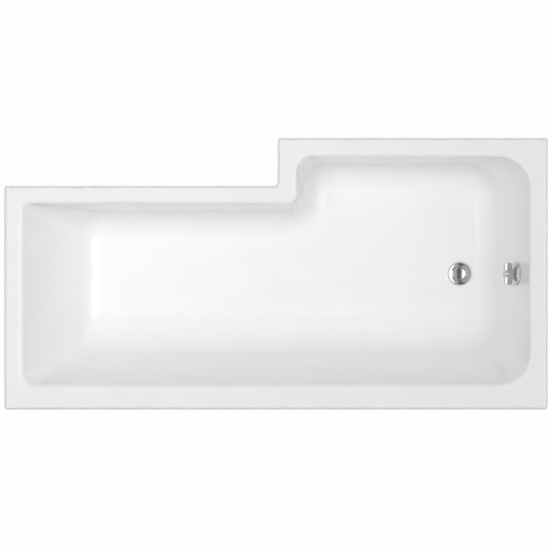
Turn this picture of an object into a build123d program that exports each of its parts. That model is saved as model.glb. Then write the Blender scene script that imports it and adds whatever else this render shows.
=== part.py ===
from build123d import *
import os
from math import asin, cos, degrees, radians, sin, tan

# L-shaped shower bath in millimetres, standing on its feet.
# +X is the waste end, +Y the side that the wide showering part stands out on, +Z up.
# The origin is under the middle of the overall rectangle, on the floor.

# Bath outline and heights
bath_length = 1700
shower_width = 850
narrow_width = 700
shower_length = 845
rim_height = 540
downstand = 42
well_depth = 385

# Sheet thicknesses and general clearances
acrylic = 5
backing = 3
bond_gap = 0.3
running = 0.05
free_play = 0.3

# Width of the flat rim on each side of the well, measured to the virtual corner with the wall
rim_head = 55
rim_waste = 55
rim_back = 75
rim_narrow = 57
rim_wide = 60
rim_step = 61

# Draft of each wall of the well, in degrees from upright
draft_head = 28.3
draft_waste = 16.9
draft_back = 19.6
draft_narrow = 4.0
draft_wide = 4.0
draft_step = 4.0

# Plan radius of each corner of the well, at the rim and at the floor
head_back_top, head_back_low = 26, 80
waste_back_top, waste_back_low = 95, 95
waste_wide_top, waste_wide_low = 95, 95
step_wide_top, step_wide_low = 45, 80
step_nose_top, step_nose_low = 24, 55
head_front_top, head_front_low = 14, 80

# Edge roundings
floor_radius = 76
rim_edge_radius = 15
outer_corner_radius = 8
outer_edge_radius = 6
step_corner_radius = 12

# Waste place and its recess in the floor
waste_from_end = 271
waste_hole_radius = 26.5
recess_radius = 38
recess_depth = 2.5

# Overflow place on the waste end wall
overflow_depth = 128
overflow_hole_radius = 25.5

# Base board
board_thickness = 18
board_margin = 7
board_corner = 20
waste_notch = 62

# Timber battens under the rim
batten_depth = 22
batten_margin = 3
back_batten_width = 42
side_batten_width = 27
batten_end_gap = 6

# Legs
rail_width = 40
rail_height = 25
rail_wall = 2
rail_bend = 3
head_rail_from_end = 430
middle_rail_from_step = 25
waste_rail_from_waste = 109
back_foot_inset = 140
narrow_foot_inset = 55
wide_foot_inset = 50
rail_overhang = 24
stud_radius = 4.9
stud_hole_radius = 5.5
stud_over_board = 55
stud_tip = 1
nut_height = 8
nut_flats = 17
pad_radius = 25
pad_height = 22
pad_rim = 6
pad_neck_radius = 11
socket_floor = 6
extra_leg_from_step = 230
extra_leg_inset = 75
extra_stud_below_board = 19
leg_tube_length = 30
leg_tube_radius = 8
leg_plate = 60
leg_plate_thickness = 3

# Wood screws
screw_radius = 2.2
screw_head_radius = 4.4
screw_head_height = 2.6
rail_screw_length = 14
bracket_screw_length = 16
rail_screw_pitch = 190

# Wall brackets
bracket_width = 30
bracket_sheet = 2
bracket_bend = 3
bracket_drop = 44
bracket_foot = 30
bracket_hole_drop = 28
bracket_hole_radius = 3.5
bracket_screw_pitch = 15
back_bracket_from_end = 350
head_bracket_along = -60
waste_bracket_along = 150

# Waste fitting
seal_top = 1.5
seal_clearance = 1
flange_radius = 35.5
flange_lip = 3
flange_bore = 21.2
flange_spigot_radius = 25
flange_spigot_length = 18
flange_web = 6
flange_web_width = 14
flange_web_drop = 10
flange_screw_place = 13
flange_screw_radius = 2.4
flange_screw_head = 4.4
driver_slot = 1
seal_under = 3
seal_under_radius = 40
body_flange = 4
bowl_radius = 31
bowl_wall = 3
bowl_depth = 58
outlet_radius = 23.9
outlet_bore = 19.5
outlet_length = 22
body_web = 6
body_web_width = 16
body_web_drop = 20
spigot_radius = 16
spigot_wall = 2
inlet_drop = 34
inlet_reach = 56

# Plug and its lift
plug_radius = 23.4
plug_dome = 3
plug_crown = 4.8
plug_sink = 0.4
plug_skirt_radius = 18
plug_skirt = 6
ring_radius = 1.4
stem_radius = 4
pin_radius = 3
pin_length = 24
lever_arm = 14
lever_tip_radius = 3
lever_width = 8
lever_swing = 35
shaft_radius = 2.5
shaft_hub_radius = 5
crank_offset = 40
crank_width = 5
crank_reach = 19
crank_slit = 7
crank_cheek = 2

# Overflow fitting, measured along its axis, square to the end wall
rosette_radius = 36
rosette_height = 11.5
rosette_wall = 2
rosette_shoulder_radius = 29.5
rosette_shoulder_height = 8.6
rosette_slots = 7
rosette_slot_width = 5
rosette_slot_height = 3.5
sleeve_radius = 24
sleeve_wall = 2
sleeve_reach = 22
gasket_thickness = 3
gasket_clearance = 3
house_radius = 33
house_wall = 3
house_flange = 4
house_flange_width = 4
bearing_floor = 2
house_depth = 48
outlet_axis = 36
outlet_spigot = 58
spindle_radius = 4
drum_radius = 6.5
drum_width = 8
drum_cheek = 2
hub_radius = 14
neck_gap = 3
neck_radius = 9
grip_length = 69
grip_height = 17
grip_back = 20.5
grip_depth = 21.5
handle_front = 43
grip_round = 2.5
set_screw_radius = 3
set_screw_length = 7
set_screw_place = 28.4
set_screw_tip = 0.8

# Overflow hose
hose_bore = 16.05
hose_valley = 17.6
hose_crest = 20.2
hose_cuff = 18.4
hose_cuff_length = 20
hose_bend = 62
hose_ribs = 20
rib_margin = 1
rib_rise, rib_crown, rib_fall = 0.25, 0.60, 0.85
nut_radius = 24
hose_nut_length = 16
nut_grips = 8
nut_grip_radius = 2

# Control cable
sheath_radius = 2.5
core_radius = 0.9
cable_bend = 75
cable_gland_radius = 5
cable_gland_length = 24
cable_insert = 8
cable_side = 27
cable_out = 50
cable_drop = 15
lug_thickness = 8
lug_root = 19
core_room_spare = 3
nipple_radius = 2.2


# Derived places
half_length = bath_length / 2
half_width = shower_width / 2
narrow_edge = narrow_width - half_width
step_edge = half_length - shower_length
floor_z = rim_height - well_depth
rim_under = rim_height - acrylic - backing
floor_under = floor_z - acrylic - backing
recess_z = floor_z - recess_depth
recess_under = recess_z - acrylic - backing
board_under = floor_under - board_thickness
waste_x = half_length - waste_from_end
head_rail_x = head_rail_from_end - half_length
middle_rail_x = step_edge + middle_rail_from_step
waste_rail_x = waste_x - waste_rail_from_waste
back_foot_y = back_foot_inset - half_width
narrow_foot_y = narrow_edge - narrow_foot_inset
wide_foot_y = half_width - wide_foot_inset
extra_leg_x = step_edge + extra_leg_from_step
extra_leg_y = narrow_edge - extra_leg_inset
lift = 2 * lever_arm * sin(radians(lever_swing / 2))


def drafted(side, rim_line, draft, depth, grow):
    """Place of a wall of the well at a depth below the rim, moved outward by grow."""
    return rim_line - side * (depth * tan(radians(draft)) - grow / cos(radians(draft)))


def corner_radius(top, low, depth, grow):
    """Plan radius of a corner of the well, changing evenly from rim to floor."""
    return top + (low - top) * depth / well_depth + grow


def well_section(depth, grow):
    """The L of the well at a depth below the rim, moved outward by grow."""
    x_head = drafted(-1, rim_head - half_length, draft_head, depth, grow)
    x_waste = drafted(1, half_length - rim_waste, draft_waste, depth, grow)
    y_back = drafted(-1, rim_back - half_width, draft_back, depth, grow)
    y_narrow = drafted(1, narrow_edge - rim_narrow, draft_narrow, depth, grow)
    y_wide = drafted(1, half_width - rim_wide, draft_wide, depth, grow)
    x_step = drafted(-1, step_edge + rim_step, draft_step, depth, grow)
    level = rim_height - depth
    corners = [
        (x_head, y_back, head_back_top, head_back_low, grow),
        (x_waste, y_back, waste_back_top, waste_back_low, grow),
        (x_waste, y_wide, waste_wide_top, waste_wide_low, grow),
        (x_step, y_wide, step_wide_top, step_wide_low, grow),
        (x_step, y_narrow, step_nose_top, step_nose_low, -grow),
        (x_head, y_narrow, head_front_top, head_front_low, grow),
    ]
    with BuildSketch(Plane.XY.offset(level)) as section:
        with BuildLine():
            Polyline(*[(x, y) for x, y, top, low, change in corners], close=True)
        make_face()
        for x, y, top, low, change in corners:
            corner = section.vertices().sort_by_distance((x, y))[0]
            fillet(corner, corner_radius(top, low, depth, change))
    return section.sketch


def well_solid(from_depth, grow, floor_grow):
    """The hollow of the well as a solid, with its floor rounding and the waste recess."""
    with BuildPart() as well:
        loft([well_section(from_depth, grow), well_section(well_depth + floor_grow, grow)], ruled=True)
        fillet(well.faces().sort_by(Axis.Z)[0].edges(), floor_radius + grow)
        with BuildSketch(Plane.XY.offset(recess_z - floor_grow)):
            with Locations((waste_x, 0)):
                Circle(recess_radius + grow)
        extrude(amount=recess_depth + floor_radius)
    return well.part


def rim_outline(inset):
    """The L of the rim in plan, drawn in by inset from its outer faces."""
    left = inset - half_length
    right = half_length - inset
    back = inset - half_width
    narrow = narrow_edge - inset
    wide = half_width - inset
    step = step_edge + inset
    points = [(left, back), (right, back), (right, wide), (step, wide), (step, narrow), (left, narrow)]
    with BuildSketch() as outline:
        with BuildLine():
            Polyline(*points, close=True)
        make_face()
        for point in points:
            corner = outline.vertices().sort_by_distance(point)[0]
            if point == (step, narrow):
                fillet(corner, step_corner_radius + inset)
            else:
                fillet(corner, max(outer_corner_radius - inset, 1))
    return outline.sketch


def inner_edges(part, level):
    """Edges round the well in the flat face at a level."""
    flat = part.faces().filter_by(Plane.XY).filter_by_position(Axis.Z, level - 0.01, level + 0.01)
    return flat.sort_by(SortBy.AREA)[-1].inner_wires()[0].edges()


# Plane of the waste end wall at the overflow: local Z points into the bath, local Y up the wall.
wall_x = drafted(1, half_length - rim_waste, draft_waste, overflow_depth, 0)
wall_z = rim_height - overflow_depth
wall_in = Vector(-cos(radians(draft_waste)), 0, sin(radians(draft_waste)))
wall_up = Vector(sin(radians(draft_waste)), 0, cos(radians(draft_waste)))
wall_place = Vector(wall_x, 0, wall_z)
wall_outside = -(acrylic + bond_gap + backing)


def on_wall(along):
    """Plane square to the overflow axis, at a distance from the wall into the bath."""
    return Plane(origin=wall_place + wall_in * along, x_dir=(0, -1, 0), z_dir=wall_in)


# Acrylic shell
with BuildPart() as bath_shell:
    with BuildSketch(Plane.XY.offset(rim_height - downstand)):
        add(rim_outline(0))
    extrude(amount=downstand)
    fillet(bath_shell.faces().sort_by(Axis.Z)[-1].edges(), outer_edge_radius)
    with BuildSketch(Plane.XY.offset(rim_height - downstand)):
        add(rim_outline(acrylic))
    extrude(amount=downstand - acrylic, mode=Mode.SUBTRACT)
    add(well_solid(acrylic / 2, acrylic, acrylic))
    fillet(inner_edges(bath_shell, rim_height - acrylic), rim_edge_radius - acrylic)
    add(well_solid(-acrylic, 0, 0), mode=Mode.SUBTRACT)
    fillet(inner_edges(bath_shell, rim_height), rim_edge_radius)
    with Locations((waste_x, 0, floor_z)):
        Cylinder(waste_hole_radius, 4 * acrylic, mode=Mode.SUBTRACT)
    with BuildSketch(on_wall(-3 * acrylic)):
        Circle(overflow_hole_radius)
    extrude(amount=6 * acrylic, mode=Mode.SUBTRACT)
bath_shell.part.label = "acrylic_shell"

# Glass-fibre backing, bonded to the underside of the shell
backing_top = rim_height - acrylic
with BuildPart() as shell_backing:
    with BuildSketch(Plane.XY.offset(rim_under)):
        add(rim_outline(acrylic + free_play))
    extrude(amount=backing)
    add(well_solid(acrylic + backing / 2, acrylic + bond_gap + backing, acrylic + backing))
    fillet(inner_edges(shell_backing, rim_under), rim_edge_radius - acrylic - bond_gap - backing)
    add(well_solid(-acrylic, acrylic + bond_gap, acrylic), mode=Mode.SUBTRACT)
    fillet(inner_edges(shell_backing, backing_top), rim_edge_radius - acrylic - bond_gap)
    with Locations((waste_x, 0, floor_z)):
        Cylinder(waste_hole_radius, 4 * (acrylic + backing), mode=Mode.SUBTRACT)
    with BuildSketch(on_wall(-6 * acrylic)):
        Circle(overflow_hole_radius)
    extrude(amount=8 * acrylic, mode=Mode.SUBTRACT)
shell_backing.part.label = "fibre_backing"


def tube(plane, length, outer, inner=0):
    """A round bar or pipe that stands on a plane and runs along its normal."""
    with BuildPart() as body:
        with BuildSketch(plane):
            Circle(outer)
            if inner > 0:
                Circle(inner, mode=Mode.SUBTRACT)
        extrude(amount=length)
    return body.part


def upright(x, y, z):
    """Plane that looks up at a point."""
    return Plane(origin=(x, y, z))


# Base board under the flat of the floor, open round the waste
sheet = acrylic + bond_gap + backing


def flat_edge(side, rim_line, draft):
    """Edge of the flat underside of the floor, less the board margin."""
    foot = drafted(side, rim_line, draft, well_depth + acrylic + backing, sheet)
    return foot - side * ((floor_radius + sheet) * tan(radians(45 - draft / 2)) + board_margin)


board_head = flat_edge(-1, rim_head - half_length, draft_head)
board_waste = flat_edge(1, half_length - rim_waste, draft_waste)
board_back = flat_edge(-1, rim_back - half_width, draft_back)
board_narrow = flat_edge(1, narrow_edge - rim_narrow, draft_narrow)
board_wide = flat_edge(1, half_width - rim_wide, draft_wide)
board_step = flat_edge(-1, step_edge + rim_step, draft_step)

# Places of the rails: x, front foot y and the middle of the board along y
rails = [
    ("head_rail", head_rail_x, narrow_foot_y, (board_back + board_narrow) / 2),
    ("middle_rail", middle_rail_x, narrow_foot_y, (board_back + board_narrow) / 2),
    ("waste_rail", waste_rail_x, wide_foot_y, (board_back + board_narrow) / 2),
]
rail_screw_row = rail_width / 2 - rail_wall - rail_bend - screw_head_radius
plate_screw_row = leg_plate / 2 - 2 * screw_head_radius
rail_screw_places = []
for name, x, front, middle in rails:
    for side in (-1, 1):
        across = side * rail_screw_row
        along = side * rail_screw_pitch / 2
        rail_screw_places.append((x + across, middle + along, board_under - rail_wall))
for across in (-plate_screw_row, plate_screw_row):
    for along in (-plate_screw_row, plate_screw_row):
        rail_screw_places.append((extra_leg_x + across, extra_leg_y + along, board_under - leg_plate_thickness))

with BuildPart() as base_board:
    board_corners = [
        (board_head, board_back, head_back_low),
        (board_waste, board_back, waste_back_low),
        (board_waste, board_wide, waste_wide_low),
        (board_step, board_wide, step_wide_low),
        (board_step, board_narrow, 0),
        (board_head, board_narrow, head_front_low),
    ]
    with BuildSketch(Plane.XY.offset(board_under)) as board_plan:
        with BuildLine():
            Polyline(*[(x, y) for x, y, low in board_corners], close=True)
        make_face()
        for x, y, low in board_corners:
            corner = board_plan.vertices().sort_by_distance((x, y))[0]
            fillet(corner, max(low - floor_radius, board_corner))
        with Locations((waste_x, 0)):
            Circle(waste_notch, mode=Mode.SUBTRACT)
        with Locations((waste_x + waste_notch, 0)):
            Rectangle(2 * waste_notch, 2 * waste_notch, mode=Mode.SUBTRACT)
    extrude(amount=board_thickness)
    for x, y, z in rail_screw_places:
        add(tube(upright(x, y, z), rail_screw_length + free_play, screw_radius + running), mode=Mode.SUBTRACT)
base_board.part.label = "base_board"

# Timber battens under the rim
batten_under = rim_under - batten_depth
hem = acrylic + batten_margin
back_inner = -half_width + hem + back_batten_width
narrow_inner = narrow_edge - hem - side_batten_width
wide_inner = half_width - hem - side_batten_width
step_inner = step_edge + hem + side_batten_width
battens = [
    ("back_batten", hem - half_length, half_length - hem, hem - half_width, back_inner),
    ("front_batten", hem - half_length, step_inner, narrow_inner, narrow_edge - hem),
    ("wide_batten", step_edge + hem, half_length - hem, wide_inner, half_width - hem),
    ("head_batten", hem - half_length, hem - half_length + side_batten_width,
     back_inner + batten_end_gap, narrow_inner - batten_end_gap),
    ("waste_batten", half_length - hem - side_batten_width, half_length - hem,
     back_inner + batten_end_gap, wide_inner - batten_end_gap),
    ("step_batten", step_edge + hem, step_inner,
     narrow_edge - hem + batten_end_gap, wide_inner - batten_end_gap),
]

# Wall brackets: a point on the inside of the rim downstand, and the way into the bath
bracket_face = acrylic + free_play
brackets = [
    ("back_bracket_head", Vector(back_bracket_from_end - half_length, bracket_face - half_width, batten_under), Vector(0, 1, 0),
     back_batten_width),
    ("back_bracket_waste", Vector(half_length - back_bracket_from_end, bracket_face - half_width, batten_under), Vector(0, 1, 0),
     back_batten_width),
    ("head_bracket", Vector(bracket_face - half_length, head_bracket_along, batten_under), Vector(1, 0, 0),
     side_batten_width),
    ("waste_bracket", Vector(half_length - bracket_face, waste_bracket_along, batten_under), Vector(-1, 0, 0),
     side_batten_width),
]
bracket_screw_places = []
for name, place, inward, width in brackets:
    for along in (-bracket_screw_pitch / 2, bracket_screw_pitch / 2):
        beside = inward.cross(Vector(0, 0, 1)) * along
        into = inward * (batten_margin - free_play + side_batten_width / 2)
        bracket_screw_places.append(place + beside + into - Vector(0, 0, bracket_sheet))

batten_parts = []
for name, x_from, x_to, y_from, y_to in battens:
    with BuildPart() as batten:
        with BuildSketch(Plane.XY.offset(batten_under)):
            with Locations(((x_from + x_to) / 2, (y_from + y_to) / 2)):
                Rectangle(x_to - x_from, y_to - y_from)
        extrude(amount=batten_depth)
        for place in bracket_screw_places:
            if x_from < place.X < x_to and y_from < place.Y < y_to:
                pilot = tube(Plane(origin=place), bracket_screw_length + free_play, screw_radius + running)
                add(pilot, mode=Mode.SUBTRACT)
        chamfer(batten.faces().sort_by(Axis.Z)[0].outer_wire().edges(), 1)
    batten.part.label = name
    batten_parts.append(batten.part)

bracket_parts = []
for name, place, inward, width in brackets:
    side = inward.cross(Vector(0, 0, 1))
    with BuildPart() as bracket:
        with BuildSketch(Plane(origin=place, x_dir=inward, z_dir=side)) as profile:
            with BuildLine():
                Polyline(
                    (0, 0),
                    (bracket_foot, 0),
                    (bracket_foot, -bracket_sheet),
                    (bracket_sheet, -bracket_sheet),
                    (bracket_sheet, -bracket_drop),
                    (0, -bracket_drop),
                    close=True,
                )
            make_face()
            fillet(profile.vertices().sort_by_distance((0, 0))[0], bracket_bend)
            inside_bend = (bracket_sheet, -bracket_sheet)
            fillet(profile.vertices().sort_by_distance(inside_bend)[0], bracket_bend - bracket_sheet)
        extrude(amount=bracket_width / 2, both=True)
        wall_hole = place - Vector(0, 0, bracket_hole_drop)
        add(tube(Plane(origin=wall_hole, x_dir=(0, 0, 1), z_dir=inward), bracket_foot, bracket_hole_radius),
            mode=Mode.SUBTRACT)
        for screw in bracket_screw_places:
            hole = tube(Plane(origin=screw), 2 * bracket_sheet, screw_radius + free_play)
            add(hole, mode=Mode.SUBTRACT)
        tips = bracket.edges().filter_by(Axis(origin=(0, 0, 0), direction=inward))
        fillet(tips.filter_by_position(Axis.Z, place.Z - bracket_drop - 1, place.Z - bracket_drop + 1), bracket_bend)
    bracket.part.label = name
    bracket_parts.append(bracket.part)


def wood_screw(place, length):
    """Pan-head screw driven upward, with the underside of its head at a place."""
    with BuildPart() as screw:
        add(tube(Plane(origin=place), length, screw_radius))
        add(tube(Plane(origin=place, x_dir=(1, 0, 0), z_dir=(0, 0, -1)), screw_head_height, screw_head_radius))
        chamfer(screw.edges().sort_by(Axis.Z)[0], screw_head_height / 2)
    return screw.part


with BuildPart() as bracket_screws:
    for place in bracket_screw_places:
        add(wood_screw(place, bracket_screw_length))
bracket_screws.part.label = "bracket_screws"

with BuildPart() as rail_screws:
    for x, y, z in rail_screw_places:
        add(wood_screw(Vector(x, y, z), rail_screw_length))
rail_screws.part.label = "rail_screws"

# Pressed steel rails, open downward
rail_parts = []
foot_places = []
for name, x, front, middle in rails:
    with BuildPart() as rail:
        length = front - back_foot_y + 2 * rail_overhang
        start = back_foot_y - rail_overhang
        with BuildSketch(Plane(origin=(x, start, board_under), x_dir=(-1, 0, 0), z_dir=(0, 1, 0))) as channel:
            with BuildLine():
                Polyline(
                    (-rail_width / 2, -rail_height),
                    (-rail_width / 2, 0),
                    (rail_width / 2, 0),
                    (rail_width / 2, -rail_height),
                    (rail_width / 2 - rail_wall, -rail_height),
                    (rail_width / 2 - rail_wall, -rail_wall),
                    (rail_wall - rail_width / 2, -rail_wall),
                    (rail_wall - rail_width / 2, -rail_height),
                    close=True,
                )
            make_face()
            fillet(channel.vertices().filter_by_position(Axis.Y, -0.1, 0.1), rail_bend)
            inside = channel.vertices().filter_by_position(Axis.Y, -rail_wall - 0.1, 0.1 - rail_wall)
            fillet(inside, rail_bend - rail_wall)
        extrude(amount=length)
        for y in (back_foot_y, front):
            add(tube(upright(x, y, board_under - rail_height), 2 * rail_height, stud_hole_radius), mode=Mode.SUBTRACT)
            foot_places.append((x, y))
        for place in rail_screw_places:
            if abs(place[0] - x) < rail_width / 2:
                add(tube(upright(*place), rail_wall, screw_radius + free_play), mode=Mode.SUBTRACT)
        ends = rail.edges().filter_by(Axis.X).filter_by_position(
            Axis.Z, board_under - rail_height - 0.1, board_under - rail_height + 0.1)
        corners = [edge for edge in ends if edge.length < rail_width]
        fillet(corners, rail_height / 4)
    rail.part.label = name
    rail_parts.append(rail.part)
foot_places.append((extra_leg_x, extra_leg_y))

# Socket plate of the seventh leg, under the wide part of the board
with BuildPart() as leg_socket:
    socket_top = board_under - leg_plate_thickness
    with BuildSketch(Plane.XY.offset(socket_top)):
        with Locations((extra_leg_x, extra_leg_y)):
            RectangleRounded(leg_plate, leg_plate, leg_plate / 10)
    extrude(amount=leg_plate_thickness)
    tube_foot = upright(extra_leg_x, extra_leg_y, socket_top - leg_tube_length)
    add(tube(tube_foot, leg_tube_length, leg_tube_radius))
    add(tube(tube_foot, leg_tube_length, stud_radius + running), mode=Mode.SUBTRACT)
    for x, y, z in rail_screw_places:
        if abs(x - extra_leg_x) < leg_plate / 2 and abs(y - extra_leg_y) < leg_plate / 2:
            add(tube(upright(x, y, z), leg_plate_thickness, screw_radius + free_play), mode=Mode.SUBTRACT)
leg_socket.part.label = "leg_socket"

# Adjustable feet
stud_parts = []
pad_parts = []
for number, (x, y) in enumerate(foot_places, start=1):
    over_board = -extra_stud_below_board if (x, y) == (extra_leg_x, extra_leg_y) else stud_over_board
    with BuildPart() as stud:
        add(tube(upright(x, y, socket_floor), board_under + over_board - socket_floor, stud_radius))
        chamfer(stud.edges().filter_by(GeomType.CIRCLE), stud_tip)
    stud.part.label = f"leg_stud_{number}"
    stud_parts.append(stud.part)
    with BuildPart() as pad:
        with BuildSketch(Plane(origin=(x, y, 0), x_dir=(1, 0, 0), z_dir=(0, -1, 0))) as half:
            with BuildLine():
                Line((stud_radius + running, socket_floor), (0, socket_floor))
                Line((0, socket_floor), (0, 0))
                Line((0, 0), (pad_radius, 0))
                Line((pad_radius, 0), (pad_radius, pad_rim))
                Line((pad_radius, pad_rim), (pad_neck_radius, pad_height - pad_rim))
                Line((pad_neck_radius, pad_height - pad_rim), (pad_neck_radius, pad_height))
                Line((pad_neck_radius, pad_height), (stud_radius + running, pad_height))
                Line((stud_radius + running, pad_height), (stud_radius + running, socket_floor))
            make_face()
            neck_corner = (pad_neck_radius, pad_height - pad_rim)
            chamfer(half.vertices().sort_by_distance(neck_corner)[0], pad_rim / 2)
        revolve(axis=Axis((x, y, 0), (0, 0, 1)))
    pad.part.label = f"leg_pad_{number}"
    pad_parts.append(pad.part)


def hex_nut(x, y, z):
    """Nut on a leg stud, standing on a level."""
    with BuildPart() as nut:
        with BuildSketch(Plane.XY.offset(z)):
            with Locations((x, y)):
                RegularPolygon(nut_flats / 2, 6, major_radius=False)
                Circle(stud_radius + running, mode=Mode.SUBTRACT)
        extrude(amount=nut_height)
    return nut.part


with BuildPart() as leg_nuts:
    for x, y in foot_places[:-1]:
        add(hex_nut(x, y, board_under))
        add(hex_nut(x, y, board_under - rail_wall - nut_height))
    add(hex_nut(extra_leg_x, extra_leg_y, board_under - leg_plate_thickness - leg_tube_length - nut_height))
leg_nuts.part.label = "leg_nuts"

# Waste fitting
flange_under = recess_z + seal_top
body_top = recess_under - seal_under
web_top = flange_under - flange_web_drop
body_web_top = body_top - body_web_drop
bowl_bottom = body_top - bowl_depth
inlet_z = body_top - inlet_drop
flange_top = flange_under + flange_lip


def waste_profile_plane():
    """Plane for half sections of the waste: local X is the radius, local Y is height."""
    return Plane(origin=(waste_x, 0, 0), x_dir=(1, 0, 0), z_dir=(0, -1, 0))


waste_axis = Axis((waste_x, 0, 0), (0, 0, 1))

with BuildPart() as flange_seal:
    add(tube(upright(waste_x, 0, recess_z), seal_top, flange_radius - 2 * seal_top, flange_spigot_radius + seal_clearance))
flange_seal.part.label = "flange_seal"

seat_top = plug_radius + free_play
with BuildPart() as waste_flange:
    with BuildSketch(waste_profile_plane()) as half:
        with BuildLine():
            Polyline(
                (flange_bore, flange_under - flange_spigot_length),
                (flange_spigot_radius, flange_under - flange_spigot_length),
                (flange_spigot_radius, flange_under),
                (flange_radius, flange_under),
                (flange_radius, flange_under + flange_lip / 3),
                (flange_radius - 2 * flange_lip, flange_top),
                (seat_top + flange_lip, flange_top),
                (seat_top, flange_top - flange_lip / 4),
                (seat_top, flange_under - flange_lip / 4),
                (flange_bore, flange_under - flange_lip),
                close=True,
            )
        make_face()
        fillet(half.vertices().sort_by_distance((flange_radius - 2 * flange_lip, flange_top))[0], flange_lip)
    revolve(axis=waste_axis)
    with Locations((waste_x, 0, web_top - flange_web / 2)):
        Box(flange_web_width, 2 * flange_bore + flange_lip, flange_web)
    guide_foot = web_top - flange_web
    add(tube(upright(waste_x, 0, guide_foot), flange_web, stem_radius + running), mode=Mode.SUBTRACT)
    for y in (-flange_screw_place, flange_screw_place):
        hole = tube(upright(waste_x, y, guide_foot), flange_web, flange_screw_radius + free_play)
        add(hole, mode=Mode.SUBTRACT)
waste_flange.part.label = "waste_flange"

with BuildPart() as body_seal:
    seal_foot = upright(waste_x, 0, body_top)
    add(tube(seal_foot, seal_under, seal_under_radius, waste_hole_radius + seal_clearance))
body_seal.part.label = "body_seal"

shaft_x = waste_x - lever_arm
shaft_z = bowl_bottom + bowl_wall + lever_arm
lug_x = waste_x + waste_hole_radius - lug_thickness / 2
core_z = shaft_z - lever_arm * (1 + cos(radians(lever_swing / 2))) / 2
boss_outer = shaft_hub_radius + 1
boss_end = crank_offset - crank_width / 2 - free_play

with BuildPart() as waste_body:
    with BuildSketch(waste_profile_plane()) as half:
        with BuildLine():
            Polyline(
                (bowl_radius - bowl_wall, body_top),
                (seal_under_radius + seal_clearance, body_top),
                (seal_under_radius + seal_clearance, body_top - body_flange),
                (bowl_radius, body_top - body_flange),
                (bowl_radius, bowl_bottom),
                (outlet_radius, bowl_bottom),
                (outlet_radius, bowl_bottom - outlet_length),
                (outlet_bore, bowl_bottom - outlet_length),
                (outlet_bore, bowl_bottom + bowl_wall),
                (bowl_radius - bowl_wall, bowl_bottom + bowl_wall),
                close=True,
            )
        make_face()
        chamfer(half.vertices().sort_by_distance((bowl_radius, bowl_bottom))[0], bowl_wall)
        chamfer(half.vertices().sort_by_distance((bowl_radius, body_top - body_flange))[0], bowl_wall)
    revolve(axis=waste_axis)
    with Locations((waste_x, 0, body_web_top - body_web / 2)):
        Box(body_web_width, 2 * bowl_radius - bowl_wall, body_web)
    inlet_plane = Plane(origin=(waste_x, 0, inlet_z), x_dir=(0, 1, 0), z_dir=(1, 0, 0))
    inlet_start = ((bowl_radius - bowl_wall) ** 2 - spigot_radius ** 2) ** 0.5
    with BuildSketch(inlet_plane.offset(inlet_start)):
        Circle(spigot_radius)
    extrude(amount=inlet_reach - inlet_start)
    with BuildSketch(inlet_plane.offset(inlet_reach - hose_cuff_length - spigot_wall)):
        Circle(hose_cuff)
    extrude(amount=spigot_wall)
    with BuildSketch(inlet_plane.offset(bowl_radius / 2)):
        Circle(spigot_radius - spigot_wall)
    extrude(amount=inlet_reach, mode=Mode.SUBTRACT)
    boss_plane = Plane(origin=(shaft_x, 0, shaft_z), x_dir=(1, 0, 0), z_dir=(0, -1, 0))
    with BuildSketch(boss_plane.offset(bowl_radius - 2 * bowl_wall)):
        Circle(boss_outer)
    extrude(amount=boss_end - bowl_radius + 2 * bowl_wall)
    with BuildSketch(boss_plane.offset(lever_width / 2)):
        Circle(shaft_radius + running)
    extrude(amount=crank_offset, mode=Mode.SUBTRACT)
    lug_end = crank_offset + 1.5 * cable_gland_radius
    with BuildSketch(Plane(origin=(lug_x, 0, core_z), x_dir=(0, -1, 0), z_dir=(1, 0, 0))):
        with Locations(((lug_root + lug_end) / 2, 0)):
            Rectangle(lug_end - lug_root, 3 * cable_gland_radius)
    extrude(amount=lug_thickness)
    with BuildSketch(Plane(origin=(lug_x, -crank_offset, core_z), x_dir=(0, -1, 0), z_dir=(1, 0, 0))):
        Circle(core_radius + running)
    extrude(amount=lug_thickness, mode=Mode.SUBTRACT)
    guide_foot = body_web_top - body_web
    add(tube(upright(waste_x, 0, guide_foot), body_web, pin_radius + running), mode=Mode.SUBTRACT)
    for y in (-flange_screw_place, flange_screw_place):
        add(tube(upright(waste_x, y, guide_foot), body_web, flange_screw_radius + running), mode=Mode.SUBTRACT)
waste_body.part.label = "waste_body"

with BuildPart() as flange_screws:
    for y in (-flange_screw_place, flange_screw_place):
        add(tube(upright(waste_x, y, body_web_top - body_web), web_top - body_web_top + body_web, flange_screw_radius))
        add(tube(upright(waste_x, y, web_top), screw_head_height, flange_screw_head))
        with BuildSketch(upright(waste_x, y, web_top + screw_head_height)):
            Rectangle(driver_slot, 1.5 * flange_screw_head)
        extrude(amount=-screw_head_height / 2, mode=Mode.SUBTRACT)
flange_screws.part.label = "flange_screws"

# Lift: lever on its shaft, crank outside the bowl, pin and plug above
rest_angle = lever_swing / 2
tip_place = (lever_arm * cos(radians(rest_angle)), -lever_arm * sin(radians(rest_angle)))
crank_end = (-lever_arm * sin(radians(rest_angle)), -lever_arm * cos(radians(rest_angle)))
with BuildPart() as lift_lever:
    lever_plane = Plane(origin=(shaft_x, lever_width / 2, shaft_z), x_dir=(1, 0, 0), z_dir=(0, -1, 0))
    with BuildSketch(lever_plane):
        with BuildLine():
            CenterArc((0, 0), shaft_hub_radius, 0, 360)
            CenterArc(tip_place, lever_tip_radius, 0, 360)
        make_hull()
    extrude(amount=lever_width)
    with BuildSketch(lever_plane):
        Circle(shaft_radius)
    extrude(amount=lever_width / 2 + crank_offset + crank_width / 2)
    chamfer(lift_lever.faces().sort_by(Axis.Y)[0].edges(), shaft_radius / 4)
lift_lever.part.label = "lift_lever"

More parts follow.
